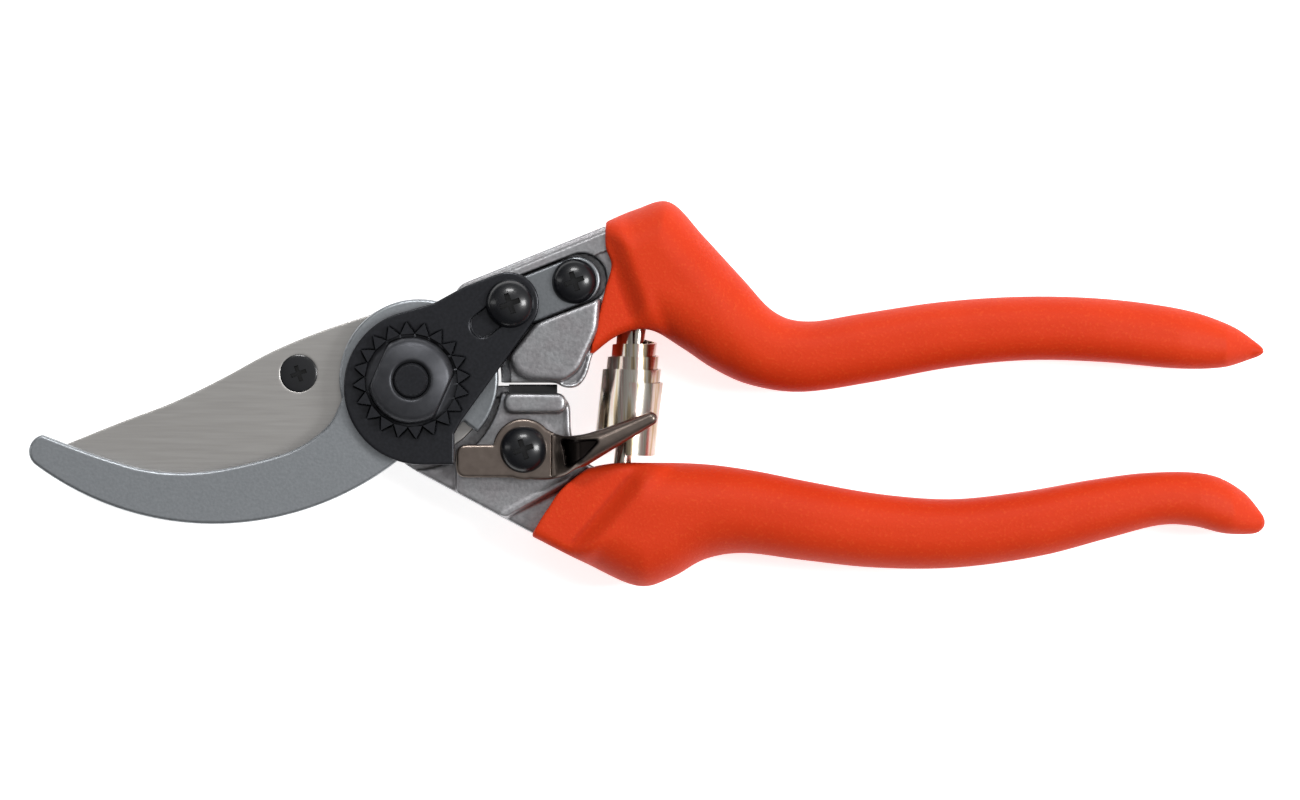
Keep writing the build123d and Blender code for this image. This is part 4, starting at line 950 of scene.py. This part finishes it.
# ================================================================ volute spring and its pegs
# A strip of spring steel wound into a volute, zinc plated, whose turns slide inside one another as the handles
# close. Its ends sit over two pegs that are pressed into the handles.
SPRING_TURNS, SPRING_PITCH, SPRING_INNER, SPRING_STRIP = 4.0, 0.62, 2.9, 0.5
SPRING_ORBIT, SPRING_ANGLE = 37.7, radians(-6.4)
SPRING_FOOT_Y, SPRING_HEAD_Y = -12.9, 8.5
SPRING_WIDTH = 12.6
spring_centre = (SPRING_ORBIT * cos(SPRING_ANGLE), SPRING_ORBIT * sin(SPRING_ANGLE))
spring_axis = (-sin(SPRING_ANGLE), cos(SPRING_ANGLE))
spring_foot_x = spring_centre[0] + (SPRING_FOOT_Y - spring_centre[1]) / spring_axis[1] * spring_axis[0]
spring_length = (SPRING_HEAD_Y - SPRING_FOOT_Y) / spring_axis[1]

# Zinc plate over cold-rolled strip: bright, in bands along the spring's axis that are partly the plate's warm
# and cool tint and partly painted reflection.
zinc, tree, place = new_finish("zinc_plated_spring_steel")
spring_band_space = add_node(tree, "ShaderNodeMapping", {
    "Vector": place, "Rotation": (0, 0, -SPRING_ANGLE), "Scale": (1 / 0.0011, 1 / 0.03, 1 / 0.0022),
})
# Partly painted reflection: the bands are narrow across the spring and long along it, and run from dark brown to
# nearly white.
bands = add_node(tree, "ShaderNodeTexNoise", {"Vector": spring_band_space, "Scale": 1.0, "Detail": 2.0})
hues = add_node(tree, "ShaderNodeValToRGB", {"Fac": bands})
stops = hues.color_ramp.elements
stops[0].position, stops[0].color = 0.30, linear("#6E6355")
stops[1].position, stops[1].color = 0.72, linear("#D9D2C8")
for at, code in ((0.42, "#A8977A"), (0.5, "#B9B5AC"), (0.6, "#B79C94")):
    stops.new(at).color = linear(code)
paint(tree, {"Metallic": 1.0, "Roughness": 0.2, "Base Color": hues})

tree, given = new_tree("volute_strip", {
    "Turns": (FLOAT, 4.0), "Inner Radius": (FLOAT, 0.003), "Pitch": (FLOAT, 0.0006),
    "Strip Width": (FLOAT, 0.012),
    "Strip Thickness": (FLOAT, 0.0005), "Rise": (FLOAT, 0.009), "Steps": (COUNT, 400),
})
line = add_node(tree, "GeometryNodeCurvePrimitiveLine", {"Start": (0, 0, 0), "End": (1, 0, 0)})
fine = add_node(tree, "GeometryNodeResampleCurve", {"Curve": line, "Count": given["Steps"]})
share = add_node(tree, "GeometryNodeSplineParameter").outputs["Factor"]
turns = add_node(tree, "ShaderNodeMath", {0: share, 1: given["Turns"]}, operation="MULTIPLY")
angle = add_node(tree, "ShaderNodeMath", {0: turns, 1: 2 * pi}, operation="MULTIPLY")
grown = add_node(tree, "ShaderNodeMath", {
    0: turns, 1: given["Pitch"], 2: given["Inner Radius"]}, operation="MULTIPLY_ADD")
round_x = add_node(tree, "ShaderNodeMath", {0: angle}, operation="COSINE")
round_y = add_node(tree, "ShaderNodeMath", {0: angle}, operation="SINE")
back_share = add_node(tree, "ShaderNodeMath", {0: 1.0, 1: share}, operation="SUBTRACT")
climb = add_node(tree, "ShaderNodeMath", {0: back_share, 1: given["Rise"]}, operation="MULTIPLY")
winding = add_node(tree, "ShaderNodeCombineXYZ", {
    "X": add_node(tree, "ShaderNodeMath", {0: round_x, 1: grown}, operation="MULTIPLY"),
    "Y": add_node(tree, "ShaderNodeMath", {0: round_y, 1: grown}, operation="MULTIPLY"),
    "Z": climb,
})
wound = add_node(tree, "GeometryNodeSetPosition", {"Geometry": fine, "Position": winding})
upright = add_node(tree, "GeometryNodeSetCurveNormal", {"Curve": wound}, mode="Z_UP")
strip = add_node(tree, "GeometryNodeCurvePrimitiveQuadrilateral", {
    "Width": given["Strip Thickness"], "Height": given["Strip Width"],
})
strip_fine = add_node(tree, "GeometryNodeSubdivideCurve", {"Curve": strip, "Cuts": 3})
swept = add_node(tree, "GeometryNodeCurveToMesh", {
    "Curve": upright, "Profile Curve": strip_fine, "Fill Caps": True,
})
end_tree(tree, swept, given["Finish"])

spring_mesh = run_tree("spring_strip", tree, {
    "Turns": SPRING_TURNS, "Inner Radius": SPRING_INNER * MM, "Pitch": SPRING_PITCH * MM,
    "Strip Width": SPRING_WIDTH * MM, "Strip Thickness": SPRING_STRIP * MM,
    "Rise": (spring_length - SPRING_WIDTH) * MM, "Steps": 480, "Finish": zinc,
})
places = np.zeros(3 * len(spring_mesh.vertices), np.float32)
spring_mesh.vertices.foreach_get("co", places)
places = places.reshape(-1, 3).astype(float)
out = np.hypot(places[:, 0], places[:, 1]) * 1000 - SPRING_INNER
turn_share = np.clip(out / (SPRING_TURNS * SPRING_PITCH), 0, 1)
aside, up, along = places[:, 1].copy(), places[:, 0].copy(), places[:, 2] + SPRING_WIDTH / 2 * MM
spring_places = np.stack([
    spring_foot_x * MM + along * spring_axis[0] - aside * spring_axis[1],
    SPRING_FOOT_Y * MM + along * spring_axis[1] + aside * spring_axis[0],
    HANDLE_MIDDLE * MM + up,
], 1)
spring_mesh.vertices.foreach_set("co", spring_places.astype(np.float32).ravel())
spring_mesh.update()
spring_mesh.shade_smooth()
spring_mesh.set_sharp_from_angle(angle=radians(35))
spring = bpy.data.objects.new("spring_strip", spring_mesh)
scene.collection.objects.link(spring)
spring_mesh.materials.clear()
spring_mesh.materials.append(zinc)
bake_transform(spring, "blade_side", "hook_side", start=(0.037, SPRING_FOOT_Y * 0.001, 0.009),
         end=(0.037, SPRING_HEAD_Y * 0.001, 0.009))
# Each turn rides by its place in the winding, not by its place between the ends, so the shares are set anew.
spring_mesh.attributes["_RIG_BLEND"].data.foreach_set("value", (1 - turn_share).astype(np.float32))
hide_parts("volute_spring")
dress("upper_spring_peg", zinc)
dress("lower_spring_peg", zinc)

# ================================================================ grips
# Each handle is dipped in soft orange-red vinyl, which cures with a fine orange-peel surface. The coat ends in
# a straight mouth on the forging, thin at first and then full behind a slanting crease.
GRIP_STEP = 0.4
PAST_SIDE, PAST_END = 60, 200  # well beyond the grips
vinyl, tree, place = new_finish("dipped_orange_vinyl")
peel = add_node(tree, "ShaderNodeTexNoise", {"Vector": place, "Scale": 1 / 0.0005, "Detail": 2.0})
_, washed = two_tone(tree, place, 0.012, 2.0, "#C93210", "#D83C14")
specks = add_node(tree, "ShaderNodeMapRange", {
    "Value": peel, "From Min": 0.54, "From Max": 0.75, "To Min": 0.0, "To Max": 0.24,
})
speckled = add_node(tree, "ShaderNodeMix", {
    "Factor": specks, COLOUR_A: washed, COLOUR_B: linear("#E8602C"),
}, data_type="RGBA")
# Painted shade: concave places, such as the crease, are mixed towards a deep red.
crease_shade_share = add_node(tree, "ShaderNodeMapRange", {
    "Value": add_node(tree, "ShaderNodeNewGeometry").outputs["Pointiness"],
    "From Min": 0.475, "From Max": 0.494, "To Min": 0.6, "To Max": 0.0,
})
shaded = add_node(tree, "ShaderNodeMix", {
    "Factor": crease_shade_share, COLOUR_A: speckled.outputs[COLOUR_OUT], COLOUR_B: linear("#8E120C"),
}, data_type="RGBA")
paint(tree, {
    "Roughness": 0.55, "Specular IOR Level": 0.16, "Base Color": shaded.outputs[COLOUR_OUT],
}, peel, 0.3, 0.0002)


def grip_body(handle, mouth, X, Y, Z):
    """A grip: rounded all along the handle, and cut nearly square at its mouth."""
    far = PAST_SIDE * np.sign(mouth[-1][1])
    cut = [*flow(mouth), (mouth[-1][0], far), (PAST_END, far), (PAST_END, -far), (mouth[0][0], -far)]
    return -melt(-handle_solid(handle, X, Y, Z), -outline_distance(cut, X, Y), 0.4)


upper_mouth = [(30.5, 4.0), (31.4, 7.4), (32.2, 10.8), (33.4, 15.7), (34.5, 19.9), (33.5, 23.0), (33.5, 27.4)]
lower_mouth = [
    (31.4, -14.9), (30.7, -14.9), (27.2, -17.6), (25.2, -19.6), (23.8, -21.7), (22.4, -23.8), (20.6, -26.9),
]
for name, handle, mouth, low, high, body in (
    ("upper_grip", UPPER, upper_mouth, (29.6, -3.2, -1.0), (149.6, 32.2, 19.6), "hook_side"),
    ("lower_grip", LOWER, lower_mouth, (19.4, -37.0, -1.0), (149.6, -13.0, 19.6), "blade_side"),
):
    mesh = skin(name + "_vinyl", lambda X, Y, Z: grip_body(handle, mouth, X, Y, Z), low, high, GRIP_STEP)
    put(name + "_vinyl", mesh, vinyl, body, "grip_vinyl", name)
